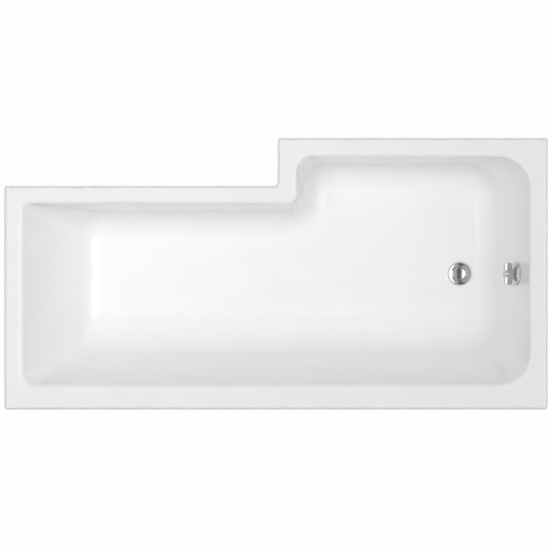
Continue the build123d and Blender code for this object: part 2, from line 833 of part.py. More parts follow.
with BuildPart() as lever_crank:
    crank_plane = Plane(origin=(shaft_x, crank_width / 2 - crank_offset, shaft_z), x_dir=(1, 0, 0), z_dir=(0, -1, 0))
    arm_turn = 180 + 90 - rest_angle
    with BuildSketch(crank_plane):
        Circle(shaft_hub_radius)
        with Locations((crank_end[0] * crank_reach / lever_arm / 2, crank_end[1] * crank_reach / lever_arm / 2)):
            Rectangle(crank_reach, 2 * (nipple_radius + running + crank_cheek), rotation=arm_turn)
        with Locations(crank_end):
            SlotCenterToCenter(2 * (crank_reach - lever_arm), 2 * (nipple_radius + free_play),
                               rotation=arm_turn, mode=Mode.SUBTRACT)
        Circle(shaft_radius + running, mode=Mode.SUBTRACT)
    extrude(amount=crank_width)
    core_slot = core_radius + free_play
    with BuildSketch(crank_plane.offset(crank_width / 2 - core_slot)):
        with Locations(crank_end):
            Rectangle(2 * crank_slit, crank_reach * 2, rotation=arm_turn)
    extrude(amount=2 * core_slot, mode=Mode.SUBTRACT)
lever_crank.part.label = "lever_crank"

# The pin's round foot stands clear of the arm's upper edge, which rises towards the hub
arm_slope = radians(rest_angle + degrees(asin((shaft_hub_radius - lever_tip_radius) / lever_arm)))
tip_setback = waste_x - shaft_x - tip_place[0]
foot_above_tip = (pin_radius + lever_tip_radius + free_play - tip_setback * sin(arm_slope)) / cos(arm_slope)
foot_middle = shaft_z + tip_place[1] + foot_above_tip
with BuildPart() as lift_pin:
    add(tube(upright(waste_x, 0, foot_middle), pin_length, pin_radius))
    with Locations((waste_x, 0, foot_middle)):
        Sphere(pin_radius)
    chamfer(lift_pin.edges().filter_by(GeomType.CIRCLE).sort_by(Axis.Z)[-1], pin_radius / 4)
lift_pin.part.label = "lift_pin"

cap_under = flange_under - plug_sink
groove_top = cap_under - ring_radius
groove_low = groove_top - 2 * ring_radius - free_play
skirt_outer = plug_skirt_radius + ring_radius
with BuildPart() as plug:
    with BuildSketch(waste_profile_plane()) as half:
        with BuildLine():
            dome_edge = (plug_radius, cap_under + plug_dome)
            dome_top = (0, cap_under + plug_crown)
            TangentArc(dome_top, dome_edge, tangent=(1, 0))
            Polyline(
                dome_edge,
                (plug_radius, cap_under),
                (skirt_outer, cap_under),
                (skirt_outer, groove_top),
                (plug_skirt_radius, groove_top),
                (plug_skirt_radius, groove_low),
                (skirt_outer, groove_low),
                (skirt_outer, cap_under - plug_skirt),
                (stem_radius, cap_under - plug_skirt),
                (stem_radius, foot_middle + pin_length + free_play),
                (0, foot_middle + pin_length + free_play),
                dome_top,
            )
        make_face()
        fillet(half.vertices().sort_by_distance(dome_edge)[0], plug_dome / 3)
    revolve(axis=waste_axis)
plug.part.label = "plug"

with BuildPart() as plug_ring:
    with BuildSketch(waste_profile_plane()):
        with Locations((plug_skirt_radius + running + ring_radius, (groove_top + groove_low) / 2)):
            RegularPolygon(ring_radius, 8, major_radius=False, rotation=22.5)
    revolve(axis=waste_axis)
plug_ring.part.label = "plug_ring"

# Overflow fitting on the waste end wall
collar_length = sleeve_reach + wall_outside - gasket_thickness
house_face = wall_outside - gasket_thickness
house_back = house_face - house_depth
drain_plane = Plane(origin=wall_place - wall_in * outlet_axis, x_dir=(0, 1, 0), z_dir=-wall_up)

with BuildPart() as overflow_gasket:
    add(tube(on_wall(house_face), gasket_thickness, rosette_radius, sleeve_radius + gasket_clearance))
overflow_gasket.part.label = "overflow_gasket"


def along_axis_plane():
    """Plane for half sections of the overflow: local X is the radius, local Y runs into the bath."""
    return Plane(origin=wall_place, x_dir=(0, -1, 0), z_dir=wall_up * -1)


overflow_line = Axis(wall_place, wall_in)

# Route of the control cable: out of a gland in the overflow body, down behind the wall, then level
gland_place = wall_place - wall_in * cable_out - wall_up * cable_drop - Vector(0, cable_side, 0)
cable_fall = (gland_place.Z - core_z) / wall_up.Z
cable_corner = gland_place - wall_up * cable_fall - Vector(0, crank_offset - cable_side, 0)
cable_way = (cable_corner - gland_place).normalized()

with BuildPart() as overflow_body:
    with BuildSketch(along_axis_plane()) as half:
        with BuildLine():
            Polyline(
                (sleeve_radius + running, house_face),
                (house_radius + house_flange_width, house_face),
                (house_radius + house_flange_width, house_face - house_flange),
                (house_radius, house_face - house_flange),
                (house_radius, house_back),
                (0, house_back),
                (0, house_back + house_wall),
                (house_radius - house_wall, house_back + house_wall),
                (house_radius - house_wall, house_face - collar_length),
                (sleeve_radius + running, house_face - collar_length),
                close=True,
            )
        make_face()
        chamfer(half.vertices().sort_by_distance((house_radius, house_back))[0], house_wall)
        chamfer(half.vertices().sort_by_distance((house_radius, house_face - house_flange))[0], house_wall)
    revolve(axis=overflow_line)
    add(tube(on_wall(house_back + house_wall), 2 * house_flange, 2 * spindle_radius))
    add(tube(on_wall(house_back + house_wall + bearing_floor), 2 * house_flange, spindle_radius + running), mode=Mode.SUBTRACT)
    drain_start = ((house_radius - house_wall) ** 2 - spigot_radius ** 2) ** 0.5
    with BuildSketch(drain_plane.offset(drain_start)):
        Circle(spigot_radius)
    extrude(amount=outlet_spigot - drain_start)
    with BuildSketch(drain_plane.offset(outlet_spigot - hose_cuff_length - spigot_wall)):
        Circle(hose_cuff)
    extrude(amount=spigot_wall)
    with BuildSketch(drain_plane.offset(house_radius / 2)):
        Circle(spigot_radius - spigot_wall)
    extrude(amount=outlet_spigot, mode=Mode.SUBTRACT)
    gland_plane = Plane(origin=gland_place, x_dir=(1, 0, 0), z_dir=cable_way)
    add(tube(gland_plane, cable_gland_length, cable_gland_radius))
    add(tube(gland_plane.offset(cable_gland_length - cable_insert), cable_insert, sheath_radius + running),
        mode=Mode.SUBTRACT)
overflow_body.part.label = "overflow_body"

with BuildPart() as overflow_rosette:
    with BuildSketch(along_axis_plane()) as half:
        with BuildLine():
            dome_foot = (rosette_radius, rosette_height / 5)
            dome_crown = (3 * spindle_radius, rosette_height)
            Polyline(
                dome_crown,
                (spindle_radius + running, rosette_height),
                (spindle_radius + running, rosette_wall),
                (2 * spindle_radius, rosette_wall),
                (2 * spindle_radius, rosette_height - 2 * rosette_wall),
                (sleeve_radius - sleeve_wall, rosette_height - 2 * rosette_wall),
                (sleeve_radius - sleeve_wall, -sleeve_reach),
                (sleeve_radius, -sleeve_reach),
                (sleeve_radius, 0),
                (rosette_radius, 0),
                dome_foot,
            )
            ThreePointArc(dome_foot, (rosette_shoulder_radius, rosette_shoulder_height), dome_crown)
        make_face()
    revolve(axis=overflow_line)
    slot_reach = rosette_radius - sleeve_radius + 2 * sleeve_wall
    with BuildSketch(on_wall(rosette_height / 8)):
        with PolarLocations(rosette_radius - slot_reach / 2 + 1, rosette_slots, -150, 120, endpoint=True):
            Rectangle(slot_reach, rosette_slot_width)
    extrude(amount=rosette_slot_height, mode=Mode.SUBTRACT)
overflow_rosette.part.label = "overflow_rosette"

spindle_back = house_back + house_wall + bearing_floor + free_play
spindle_front = handle_front - house_wall - grip_round
with BuildPart() as overflow_spindle:
    add(tube(on_wall(spindle_back), spindle_front - spindle_back, spindle_radius))
    add(tube(on_wall(-outlet_axis - drum_width / 2), drum_width, drum_radius))
    add(tube(on_wall(-outlet_axis - drum_width / 2 - drum_cheek), drum_cheek, drum_radius + drum_cheek))
    add(tube(on_wall(-outlet_axis + drum_width / 2), drum_cheek, drum_radius + drum_cheek))
    chamfer(overflow_spindle.edges().filter_by(GeomType.CIRCLE).sort_by(overflow_line)[0], spindle_radius / 5)
overflow_spindle.part.label = "overflow_spindle"

grip_plane = Plane(origin=wall_place + wall_in * (grip_back + grip_depth / 2), x_dir=(0, -1, 0), z_dir=wall_up)
screw_plane = Plane(origin=wall_place + wall_in * set_screw_place, x_dir=(0, -1, 0), z_dir=wall_up)
with BuildPart() as rotary_handle:
    with BuildSketch(grip_plane):
        RectangleRounded(grip_length, grip_depth, 2 * grip_round)
    extrude(amount=grip_height / 2, both=True)
    chamfer(rotary_handle.faces().filter_by(grip_plane).edges(), grip_round / 2)
    with BuildSketch(along_axis_plane()) as half:
        with BuildLine():
            hub_back = rosette_height + neck_gap
            Polyline(
                (0, rosette_height + free_play),
                (neck_radius, rosette_height + free_play),
                (neck_radius, hub_back),
                (hub_radius, hub_back),
                (hub_radius, handle_front),
                (0, handle_front),
                close=True,
            )
        make_face()
        fillet(half.vertices().sort_by_distance((hub_radius, hub_back))[0], grip_round / 2)
        fillet(half.vertices().sort_by_distance((hub_radius, handle_front))[0], grip_round)
    revolve(axis=overflow_line)
    bore_length = spindle_front + free_play - rosette_height
    add(tube(on_wall(rosette_height), bore_length, spindle_radius + running), mode=Mode.SUBTRACT)
    add(tube(screw_plane, 2 * hub_radius, set_screw_radius + running), mode=Mode.SUBTRACT)
rotary_handle.part.label = "rotary_handle"

with BuildPart() as handle_set_screw:
    screw_foot = screw_plane.offset(spindle_radius + free_play)
    add(tube(screw_foot, set_screw_length, set_screw_radius))
    with BuildSketch(screw_foot.offset(set_screw_length)):
        RegularPolygon(set_screw_radius / 2, 6)
    extrude(amount=-set_screw_length / 2, mode=Mode.SUBTRACT)
    chamfer(handle_set_screw.edges().filter_by(GeomType.CIRCLE).sort_by(Axis(wall_place, wall_up))[0], set_screw_tip)
handle_set_screw.part.label = "handle_set_screw"


def elbow(start, corner, end, radius):
    """Route of two straights joined by an arc: tangent points, middle of the arc and its angle."""
    way_in = (corner - start).normalized()
    way_out = (end - corner).normalized()
    turn = radians(way_in.get_angle(way_out))
    reach = radius * tan(turn / 2)
    first = corner - way_in * reach
    last = corner + way_out * reach
    middle = corner + (way_out - way_in).normalized() * (radius / cos(turn / 2) - radius)
    return first, middle, last, turn


# Corrugated overflow hose: plain cuffs, with ribs between them
hose_start = drain_plane.origin + drain_plane.z_dir * (outlet_spigot - hose_cuff_length)
hose_fall = (hose_start.Z - inlet_z) / wall_up.Z
hose_corner = hose_start - wall_up * hose_fall
hose_end = Vector(waste_x + inlet_reach - hose_cuff_length, 0, inlet_z)
hose_first, hose_middle, hose_last, hose_turn = elbow(hose_start, hose_corner, hose_end, hose_bend)
upper_run = (hose_first - hose_start).length
bend_run = hose_bend * hose_turn
lower_run = (hose_end - hose_last).length
hose_length = upper_run + bend_run + lower_run


def hose_section(distance, radius):
    """Circle across the hose at a distance along its centre line."""
    way_in = (hose_corner - hose_start).normalized()
    way_out = (hose_end - hose_corner).normalized()
    if distance <= upper_run:
        place = hose_start + way_in * distance
        way = way_in
    elif distance >= upper_run + bend_run:
        place = hose_last + way_out * (distance - upper_run - bend_run)
        way = way_out
    else:
        turned = (distance - upper_run) / hose_bend
        inward = (way_out - way_in * cos(hose_turn)) * (1 / sin(hose_turn))
        way = way_in * cos(turned) + inward * sin(turned)
        place = hose_first + way_in * (hose_bend * sin(turned)) + inward * (hose_bend * (1 - cos(turned)))
    with BuildSketch(Plane(origin=place, x_dir=(0, 1, 0), z_dir=way)) as circle:
        Circle(radius)
    return circle.sketch


rib_pitch = (hose_length - 2 * hose_cuff_length - 2 * rib_margin) / hose_ribs
with BuildPart() as overflow_hose:
    sections = [hose_section(0, hose_cuff), hose_section(hose_cuff_length, hose_cuff)]
    for rib in range(hose_ribs):
        foot = hose_cuff_length + rib_margin + rib * rib_pitch
        sections.append(hose_section(foot, hose_valley))
        sections.append(hose_section(foot + rib_rise * rib_pitch, hose_crest))
        sections.append(hose_section(foot + rib_crown * rib_pitch, hose_crest))
        sections.append(hose_section(foot + rib_fall * rib_pitch, hose_valley))
    sections.append(hose_section(hose_length - hose_cuff_length, hose_cuff))
    sections.append(hose_section(hose_length, hose_cuff))
    loft(sections, ruled=True)
    with BuildLine() as hose_route:
        Line(hose_start, hose_first)
        ThreePointArc(hose_first, hose_middle, hose_last)
        Line(hose_last, hose_end)
    bore_mouth = hose_section(0, hose_bore)
    sweep(bore_mouth, path=hose_route.wires()[0], mode=Mode.SUBTRACT)
overflow_hose.part.label = "overflow_hose"


def hose_nut(plane):
    """Grooved union nut round a cuff of the hose."""
    with BuildPart() as nut:
        with BuildSketch(plane):
            Circle(nut_radius)
            Circle(hose_cuff + free_play, mode=Mode.SUBTRACT)
            with PolarLocations(nut_radius + nut_grip_radius / 2, nut_grips):
                Circle(nut_grip_radius, mode=Mode.SUBTRACT)
        extrude(amount=hose_nut_length)
    return nut.part


nut_start = (hose_cuff_length - hose_nut_length) / 2
with BuildPart() as upper_hose_nut:
    add(hose_nut(Plane(origin=hose_start - wall_up * nut_start, x_dir=(0, 1, 0), z_dir=-wall_up)))
upper_hose_nut.part.label = "upper_hose_nut"
with BuildPart() as lower_hose_nut:
    nut_place = hose_end + Vector(nut_start, 0, 0)
    add(hose_nut(Plane(origin=nut_place, x_dir=(0, 1, 0), z_dir=(1, 0, 0))))
lower_hose_nut.part.label = "lower_hose_nut"

# Control cable from the overflow body to the lug on the waste body
sheath_start = gland_place + cable_way * (cable_gland_length - cable_insert)
cable_end = Vector(lug_x + lug_thickness, -crank_offset, core_z)
cable_first, cable_middle, cable_last, cable_turn = elbow(sheath_start, cable_corner, cable_end, cable_bend)
with BuildPart() as control_cable:
    with BuildLine() as cable_route:
        Line(sheath_start, cable_first)
        ThreePointArc(cable_first, cable_middle, cable_last)
        Line(cable_last, cable_end)
    with BuildSketch(Plane(origin=sheath_start, x_dir=(1, 0, 0), z_dir=cable_way)):
        Circle(sheath_radius)
    sweep(path=cable_route.wires()[0])
    core_room = Plane(origin=cable_end, x_dir=(0, 1, 0), z_dir=(1, 0, 0))
    add(tube(core_room, lift + core_room_spare, core_radius + running), mode=Mode.SUBTRACT)
control_cable.part.label = "control_cable"

with BuildPart() as cable_core:
    nipple_x = shaft_x + crank_end[0]
    nipple_z = core_z
    core_plane = Plane(origin=(nipple_x, -crank_offset, nipple_z), x_dir=(0, 1, 0), z_dir=(1, 0, 0))
    add(tube(core_plane, cable_end.X - nipple_x, core_radius))
    pin_plane = Plane(origin=(nipple_x, crank_width / 2 - crank_offset, nipple_z), x_dir=(1, 0, 0), z_dir=(0, -1, 0))
    add(tube(pin_plane, crank_width, nipple_radius))
cable_core.part.label = "cable_core"

os.makedirs("parts", exist_ok=True)
pieces = [
    bath_shell.part,
    shell_backing.part,
    base_board.part,
    *batten_parts,
    *bracket_parts,
    bracket_screws.part,
    rail_screws.part,
    *rail_parts,
    leg_socket.part,
    *stud_parts,
    *pad_parts,
    leg_nuts.part,
    flange_seal.part,
    waste_flange.part,
    body_seal.part,
    waste_body.part,
    flange_screws.part,
    lift_lever.part,
    lever_crank.part,
    lift_pin.part,
    plug.part,
    plug_ring.part,
    overflow_gasket.part,
    overflow_body.part,
    overflow_rosette.part,
    overflow_spindle.part,
    rotary_handle.part,
    handle_set_screw.part,
    overflow_hose.part,
    upper_hose_nut.part,
    lower_hose_nut.part,
    control_cable.part,
    cable_core.part,
]
for piece in pieces:
    export_step(piece, "parts/" + piece.label + ".step")
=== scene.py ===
import math

import bpy
from bpy.props import FloatProperty, FloatVectorProperty, IntProperty, PointerProperty
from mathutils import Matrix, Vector


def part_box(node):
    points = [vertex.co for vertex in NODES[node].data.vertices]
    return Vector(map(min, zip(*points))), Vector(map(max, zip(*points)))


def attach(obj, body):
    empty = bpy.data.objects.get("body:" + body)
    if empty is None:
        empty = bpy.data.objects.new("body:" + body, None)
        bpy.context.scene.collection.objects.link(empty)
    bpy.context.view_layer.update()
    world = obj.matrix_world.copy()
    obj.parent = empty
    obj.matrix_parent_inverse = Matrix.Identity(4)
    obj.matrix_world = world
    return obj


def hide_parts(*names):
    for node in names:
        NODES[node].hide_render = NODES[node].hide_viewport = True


bl_info = {
    "name": "L-shaped shower bath",
    "version": (1, 0, 0),
    "blender": (4, 5, 0),
    "location": "3D View > Sidebar > Bath",
    "description": "Shell, fittings, finishes and studio of an L-shaped acrylic shower bath",
    "category": "Object",
}

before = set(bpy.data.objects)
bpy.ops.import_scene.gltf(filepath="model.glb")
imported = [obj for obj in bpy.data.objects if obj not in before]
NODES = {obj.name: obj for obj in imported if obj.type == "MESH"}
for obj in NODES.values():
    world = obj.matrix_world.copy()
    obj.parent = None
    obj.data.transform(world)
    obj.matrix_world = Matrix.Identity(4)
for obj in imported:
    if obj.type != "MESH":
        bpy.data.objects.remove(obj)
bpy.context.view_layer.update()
SHELL_LOW, SHELL_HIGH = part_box("acrylic_shell")
FLANGE_LOW, FLANGE_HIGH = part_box("waste_flange")


def linear(code):
    """Linear colour with alpha 1 from an sRGB hex value."""
    parts = [int(code[i:i + 2], 16) / 255 for i in (0, 2, 4)]
    return [c / 12.92 if c <= 0.04045 else ((c + 0.055) / 1.055) ** 2.4 for c in parts] + [1.0]


def per_metre(millimetres):
    """Pattern scale for a texture whose cells are this many millimetres across."""
    return 1000 / millimetres


def length_property(label, words, millimetres):
    """A length that the panel shows in scene units."""
    return FloatProperty(name=label, description=words, default=millimetres / 1000, min=0.0, unit="LENGTH")


def colour_property(label, words, code):
    """A surface colour that starts from an sRGB hex value."""
    return FloatVectorProperty(name=label, description=words, default=linear(code), size=4,
                               min=0.0, max=1.0, subtype="COLOR")


class ShellSizes(bpy.types.PropertyGroup):
    """Sizes of the thermoformed shell."""

    thickness: length_property("Sheet", "Thickness of the acrylic sheet", 5)
    downstand: length_property("Downstand", "Height of the lip that hangs down from the rim", 42)
    lean: length_property("Lean", "How far the foot of the lip stands out past its top", 3.6)
    outer_edge: length_property("Outer edge", "Rounding of the outer top edge", 6)
    outer_corner: length_property("Outer corner", "Plan radius of the outer corners", 8)
    step_corner: length_property("Step corner", "Plan radius of the inward corner of the step", 12)
    head_edge: length_property("Head edge", "Rounding of the rim into the backrest slope", 22)
    back_edge: length_property("Back edge", "Rounding of the rim into the back wall", 24)
    front_edge: length_property("Front edge", "Rounding of the rim into the front, step and waste walls", 13)
    head_foot: length_property("Backrest foot", "Rounding between the backrest slope and the floor", 78)
    back_foot: length_property("Back foot", "Rounding between the back wall and the floor", 150)
    front_foot: length_property("Front foot", "Rounding between the front and step walls and the floor", 82)
    waste_foot: length_property("Waste foot", "Rounding between the waste wall and the floor", 72)
    crease: length_property("Crease", "Smallest plan radius that a corner of the well keeps", 16)
    recess: length_property("Waste recess", "Depth of the recess round the waste", 2.5)
    overflow_drop: length_property("Overflow drop", "Depth of the overflow hole below the rim", 128)
    overflow_hole: length_property("Overflow hole", "Radius of the overflow hole", 25.5)
    arc_steps: IntProperty(name="Arc steps", description="Faces round each corner", default=16, min=6, max=32)


class FootSizes(bpy.types.PropertyGroup):
    """Sizes of the threaded legs."""

    pitch: length_property("Thread pitch", "Rise of one turn of the leg's thread", 1.5)
    turn_steps: IntProperty(name="Turn steps", description="Faces round one turn of thread", default=14, min=8, max=32)


class WasteSizes(bpy.types.PropertyGroup):
    """Sizes of the dished waste flange."""

    lip_slope: length_property("Lip slope", "Width of the sloping ring of the plain flange", 6)
    lip_height: length_property("Lip height", "Height over which the flange is reshaped", 2.2)
    lip_round: length_property("Lip rounding", "Rounding of the lip", 1.5)
    dish: length_property("Dish", "Fall of the flange from its lip towards the plug", 0.9)
    crown: length_property("Crown", "Height of the plug's middle above its underside", 4.8)
    plug_edge: length_property("Plug edge", "Height of the plug's rim above its underside", 3)
    plug_rim: length_property("Plug rim", "Width of the plug's rim", 3.6)
    around: IntProperty(name="Around", description="Faces round the plug", default=96, min=24, max=192)


class Finishes(bpy.types.PropertyGroup):
    """Colours of the surfaces."""

    acrylic: colour_property("Acrylic", "Gloss white of the bath", "FAFAF9")
    resin: colour_property("Resin", "Cured polyester resin between the strands", "D9D3C0")
    strand: colour_property("Strand", "Chopped glass strand near the surface", "F0ECE0")
    chip_light: colour_property("Light chip", "Pale flakes of the chipboard", "D3B98C")
    chip_dark: colour_property("Dark chip", "Dark flakes of the chipboard", "8A6840")
    early_wood: colour_property("Early wood", "Pale bands of the softwood", "E0C596")
    late_wood: colour_property("Late wood", "Darker bands of the softwood", "B98A50")
    galvanised: colour_property("Galvanised", "Zinc spangle on the rails", "B4B8BB")
    zinc: colour_property("Zinc", "Bright zinc on studs, nuts and screws", "C4C3BD")
    chrome: colour_property("Chrome", "Chromium plate", "C6C7C9")
    steel: colour_property("Steel", "Turned stainless steel", "BDBDBC")
    nylon: colour_property("Nylon", "Moulded feet", "26272A")
    white_plastic: colour_property("White plastic", "Moulded waste and overflow bodies", "E4E4E1")
    hose: colour_property("Hose", "Corrugated hose", "D4D5D4")
    rubber: colour_property("Rubber", "Seals and gasket", "2B2B2C")
    sheath: colour_property("Sheath", "Sheath of the control cable", "232426")
    brass: colour_property("Brass", "Turned brass", "C7A564")


class StudioSettings(bpy.types.PropertyGroup):
    """Light, floor and camera."""

    key_level: FloatProperty(name="Key", description="Level of the overhead light", default=0.105, min=0.0, max=4.0)
    side_level: FloatProperty(name="Side", description="Level of the side panels", default=0.14, min=0.0, max=4.0)
    strip_level: FloatProperty(name="Strip", description="Level of the strip that the chrome shows", default=0.03,
                               min=0.0, max=4.0)
    sky_level: FloatProperty(name="Sky", description="Level of the soft sky", default=0.36, min=0.0, max=4.0)
    floor: colour_property("Floor", "Pale floor as the object sees it", "A9A9A9")
    backdrop: colour_property("Backdrop", "Backdrop as the camera sees it", "FFFFFF")
    ceiling: colour_property("Ceiling", "Pale ceiling that the chrome shows", "D3D3D3")
    gantry: colour_property("Gantry", "Dark beam under the ceiling that the chrome shows", "7B7B7B")
    view_width: length_property("View width", "Width of the picture at the rim", 1718.75)
    lens: FloatProperty(name="Lens", description="Focal length in millimetres", default=1000.0, min=50.0, max=2000.0)


def add_node(tree, kind, links=(), inputs=(), **settings):
    """Adds a node with its settings, input values and links from other sockets."""
    node = tree.nodes.new(kind)
    for name, value in settings.items():
        setattr(node, name, value)
    for name, value in dict(inputs).items():
        node.inputs[name].default_value = value
    for name, socket in dict(links).items():
        tree.links.new(socket, node.inputs[name])
    return node


def start_material(name, **constants):
    """A material with its shader, whose constant values sit on the shader's own sockets."""
    material = bpy.data.materials.new(name)
    material.use_nodes = True
    shader = material.node_tree.nodes["Principled BSDF"]
    for socket, value in constants.items():
        shader.inputs[socket.replace("_", " ")].default_value = value
    return material, material.node_tree, shader


def set_ramp(node, stops):
    """Gives a colour ramp its stops as (position, colour) pairs."""
    ramp = node.color_ramp
    while len(ramp.elements) < len(stops):
        ramp.elements.new(0.5)
    for element, (place, colour) in zip(ramp.elements, stops):
        element.position = place
        element.color = colour


def dimmer(colour, share):
    """The same colour at a share of its brightness."""
    return [c * share for c in list(colour)[:3]] + [1.0]


def vacuum_formed_acrylic(finish):
    """Cast acrylic sheet drawn over a mould: gloss, with the faint long ripple that drawing leaves."""
    material, tree, shader = start_material("vacuum_formed_acrylic", IOR=1.49)
    place = add_node(tree, "ShaderNodeTexCoord").outputs["Object"]
    # Cloudiness a hand's width across, and polish marks about 2 mm apart
    cloud = add_node(tree, "ShaderNodeTexNoise", {"Vector": place}, {"Scale": per_metre(120), "Detail": 2.0})
    tone = add_node(tree, "ShaderNodeValToRGB", {"Fac": cloud.outputs["Fac"]})
    set_ramp(tone, [(0.35, dimmer(finish.acrylic, 0.985)), (0.65, finish.acrylic)])
    polish = add_node(tree, "ShaderNodeTexNoise", {"Vector": place}, {"Scale": per_metre(2), "Detail": 3.0})
    gloss = add_node(tree, "ShaderNodeMapRange", {"Value": polish.outputs["Fac"]},
                     {"From Min": 0.3, "From Max": 0.7, "To Min": 0.10, "To Max": 0.16})
    ripple = add_node(tree, "ShaderNodeTexNoise", {"Vector": place}, {"Scale": per_metre(28), "Detail": 1.0})
    bump = add_node(tree, "ShaderNodeBump", {"Height": ripple.outputs["Fac"]},
                    {"Strength": 0.25, "Distance": 0.0002})
    tree.links.new(tone.outputs["Color"], shader.inputs["Base Color"])
    tree.links.new(gloss.outputs["Result"], shader.inputs["Roughness"])
    tree.links.new(bump.outputs["Normal"], shader.inputs["Normal"])
    return material


def sprayed_glass_fibre(finish):
    """Chopped glass strands in polyester resin, rolled on: pale strands, amber resin and a lumpy skin."""
    material, tree, shader = start_material("sprayed_glass_fibre", IOR=1.55)
    place = add_node(tree, "ShaderNodeTexCoord").outputs["Object"]
    warp = add_node(tree, "ShaderNodeTexNoise", {"Vector": place}, {"Scale": per_metre(30), "Detail": 3.0})
    bent = add_node(tree, "ShaderNodeMixRGB", {"Color1": place, "Color2": warp.outputs["Color"]}, {"Fac": 0.06})
    heights = []
    # Strands are 30 mm long and drawn 3 mm wide, wider than real ones, so that they show
    for turn in (0.2, 1.3, 2.3):
        laid = add_node(tree, "ShaderNodeMapping", {"Vector": bent.outputs["Color"]},
                        {"Rotation": (turn * 0.7, turn, turn * 1.9), "Scale": (1.0, 9.0, 9.0)})
        strand = add_node(tree, "ShaderNodeTexVoronoi", {"Vector": laid.outputs["Vector"]},
                          {"Scale": per_metre(30)}, feature="F1")
        heights.append(strand.outputs["Distance"])
    pair = add_node(tree, "ShaderNodeMath", {0: heights[0], 1: heights[1]}, operation="MINIMUM")
    mat = add_node(tree, "ShaderNodeMath", {0: pair.outputs["Value"], 1: heights[2]}, operation="MINIMUM")
    tone = add_node(tree, "ShaderNodeValToRGB", {"Fac": mat.outputs["Value"]})
    set_ramp(tone, [(0.05, finish.strand), (0.35, finish.resin), (0.7, dimmer(finish.resin, 0.82))])
    lump = add_node(tree, "ShaderNodeTexNoise", {"Vector": place}, {"Scale": per_metre(18), "Detail": 4.0})
    rise = add_node(tree, "ShaderNodeMath", {0: lump.outputs["Fac"], 1: mat.outputs["Value"]}, operation="SUBTRACT")
    bump = add_node(tree, "ShaderNodeBump", {"Height": rise.outputs["Value"]}, {"Strength": 0.7, "Distance": 0.0012})
    gloss = add_node(tree, "ShaderNodeMapRange", {"Value": lump.outputs["Fac"]},
                     {"From Min": 0.3, "From Max": 0.7, "To Min": 0.32, "To Max": 0.6})
    tree.links.new(tone.outputs["Color"], shader.inputs["Base Color"])
    tree.links.new(gloss.outputs["Result"], shader.inputs["Roughness"])
    tree.links.new(bump.outputs["Normal"], shader.inputs["Normal"])
    return material


def pressed_chipboard(finish):
    """Wood flakes pressed with resin: mixed pale and dark flakes, matt, with a crumbly face."""
    material, tree, shader = start_material("pressed_chipboard", IOR=1.5)
    place = add_node(tree, "ShaderNodeTexCoord").outputs["Object"]
    # Surface flakes are about 5 mm across
    flake = add_node(tree, "ShaderNodeTexVoronoi", {"Vector": place}, {"Scale": per_metre(5)})
    dust = add_node(tree, "ShaderNodeTexNoise", {"Vector": place}, {"Scale": per_metre(1.5), "Detail": 4.0})
    blend = add_node(tree, "ShaderNodeMixRGB", {"Color1": flake.outputs["Color"], "Color2": dust.outputs["Fac"]},
                     {"Fac": 0.45})
    tone = add_node(tree, "ShaderNodeValToRGB", {"Fac": blend.outputs["Color"]})
    set_ramp(tone, [(0.25, finish.chip_dark), (0.5, finish.chip_light), (0.8, dimmer(finish.chip_light, 1.12))])
    bump = add_node(tree, "ShaderNodeBump", {"Height": blend.outputs["Color"]}, {"Strength": 0.5, "Distance": 0.0004})
    gloss = add_node(tree, "ShaderNodeMapRange", {"Value": dust.outputs["Fac"]}, {"To Min": 0.65, "To Max": 0.9})
    tree.links.new(tone.outputs["Color"], shader.inputs["Base Color"])
    tree.links.new(gloss.outputs["Result"], shader.inputs["Roughness"])
    tree.links.new(bump.outputs["Normal"], shader.inputs["Normal"])
    return material


def sawn_softwood(finish, along):
    """Planed pine: growth bands along the length, fine fibre and the saw's light chatter."""
    material, tree, shader = start_material("sawn_softwood_" + along, IOR=1.53)
    place = add_node(tree, "ShaderNodeTexCoord").outputs["Object"]
    # Growth rings are 4 mm apart across the grain and run 400 mm along it
    squeeze = {"x": (0.01, 1.0, 1.0), "y": (1.0, 0.01, 1.0)}[along]
    grain = add_node(tree, "ShaderNodeMapping", {"Vector": place}, {"Scale": squeeze})
    band = add_node(tree, "ShaderNodeTexNoise", {"Vector": grain.outputs["Vector"]},
                    {"Scale": per_metre(4), "Detail": 2.0, "Distortion": 0.6})
    fibre = add_node(tree, "ShaderNodeTexNoise", {"Vector": grain.outputs["Vector"]},
                     {"Scale": per_metre(0.6), "Detail": 4.0})
    tone = add_node(tree, "ShaderNodeValToRGB", {"Fac": band.outputs["Fac"]})
    set_ramp(tone, [(0.35, finish.early_wood), (0.56, finish.late_wood), (0.62, finish.early_wood)])
    shade = add_node(tree, "ShaderNodeMixRGB", {"Color1": tone.outputs["Color"], "Color2": fibre.outputs["Fac"]},
                     {"Fac": 0.12}, blend_type="MULTIPLY")
    bump = add_node(tree, "ShaderNodeBump", {"Height": fibre.outputs["Fac"]}, {"Strength": 0.4, "Distance": 0.0002})
    gloss = add_node(tree, "ShaderNodeMapRange", {"Value": fibre.outputs["Fac"]}, {"To Min": 0.55, "To Max": 0.8})
    tree.links.new(shade.outputs["Color"], shader.inputs["Base Color"])
    tree.links.new(gloss.outputs["Result"], shader.inputs["Roughness"])
    tree.links.new(bump.outputs["Normal"], shader.inputs["Normal"])
    return material


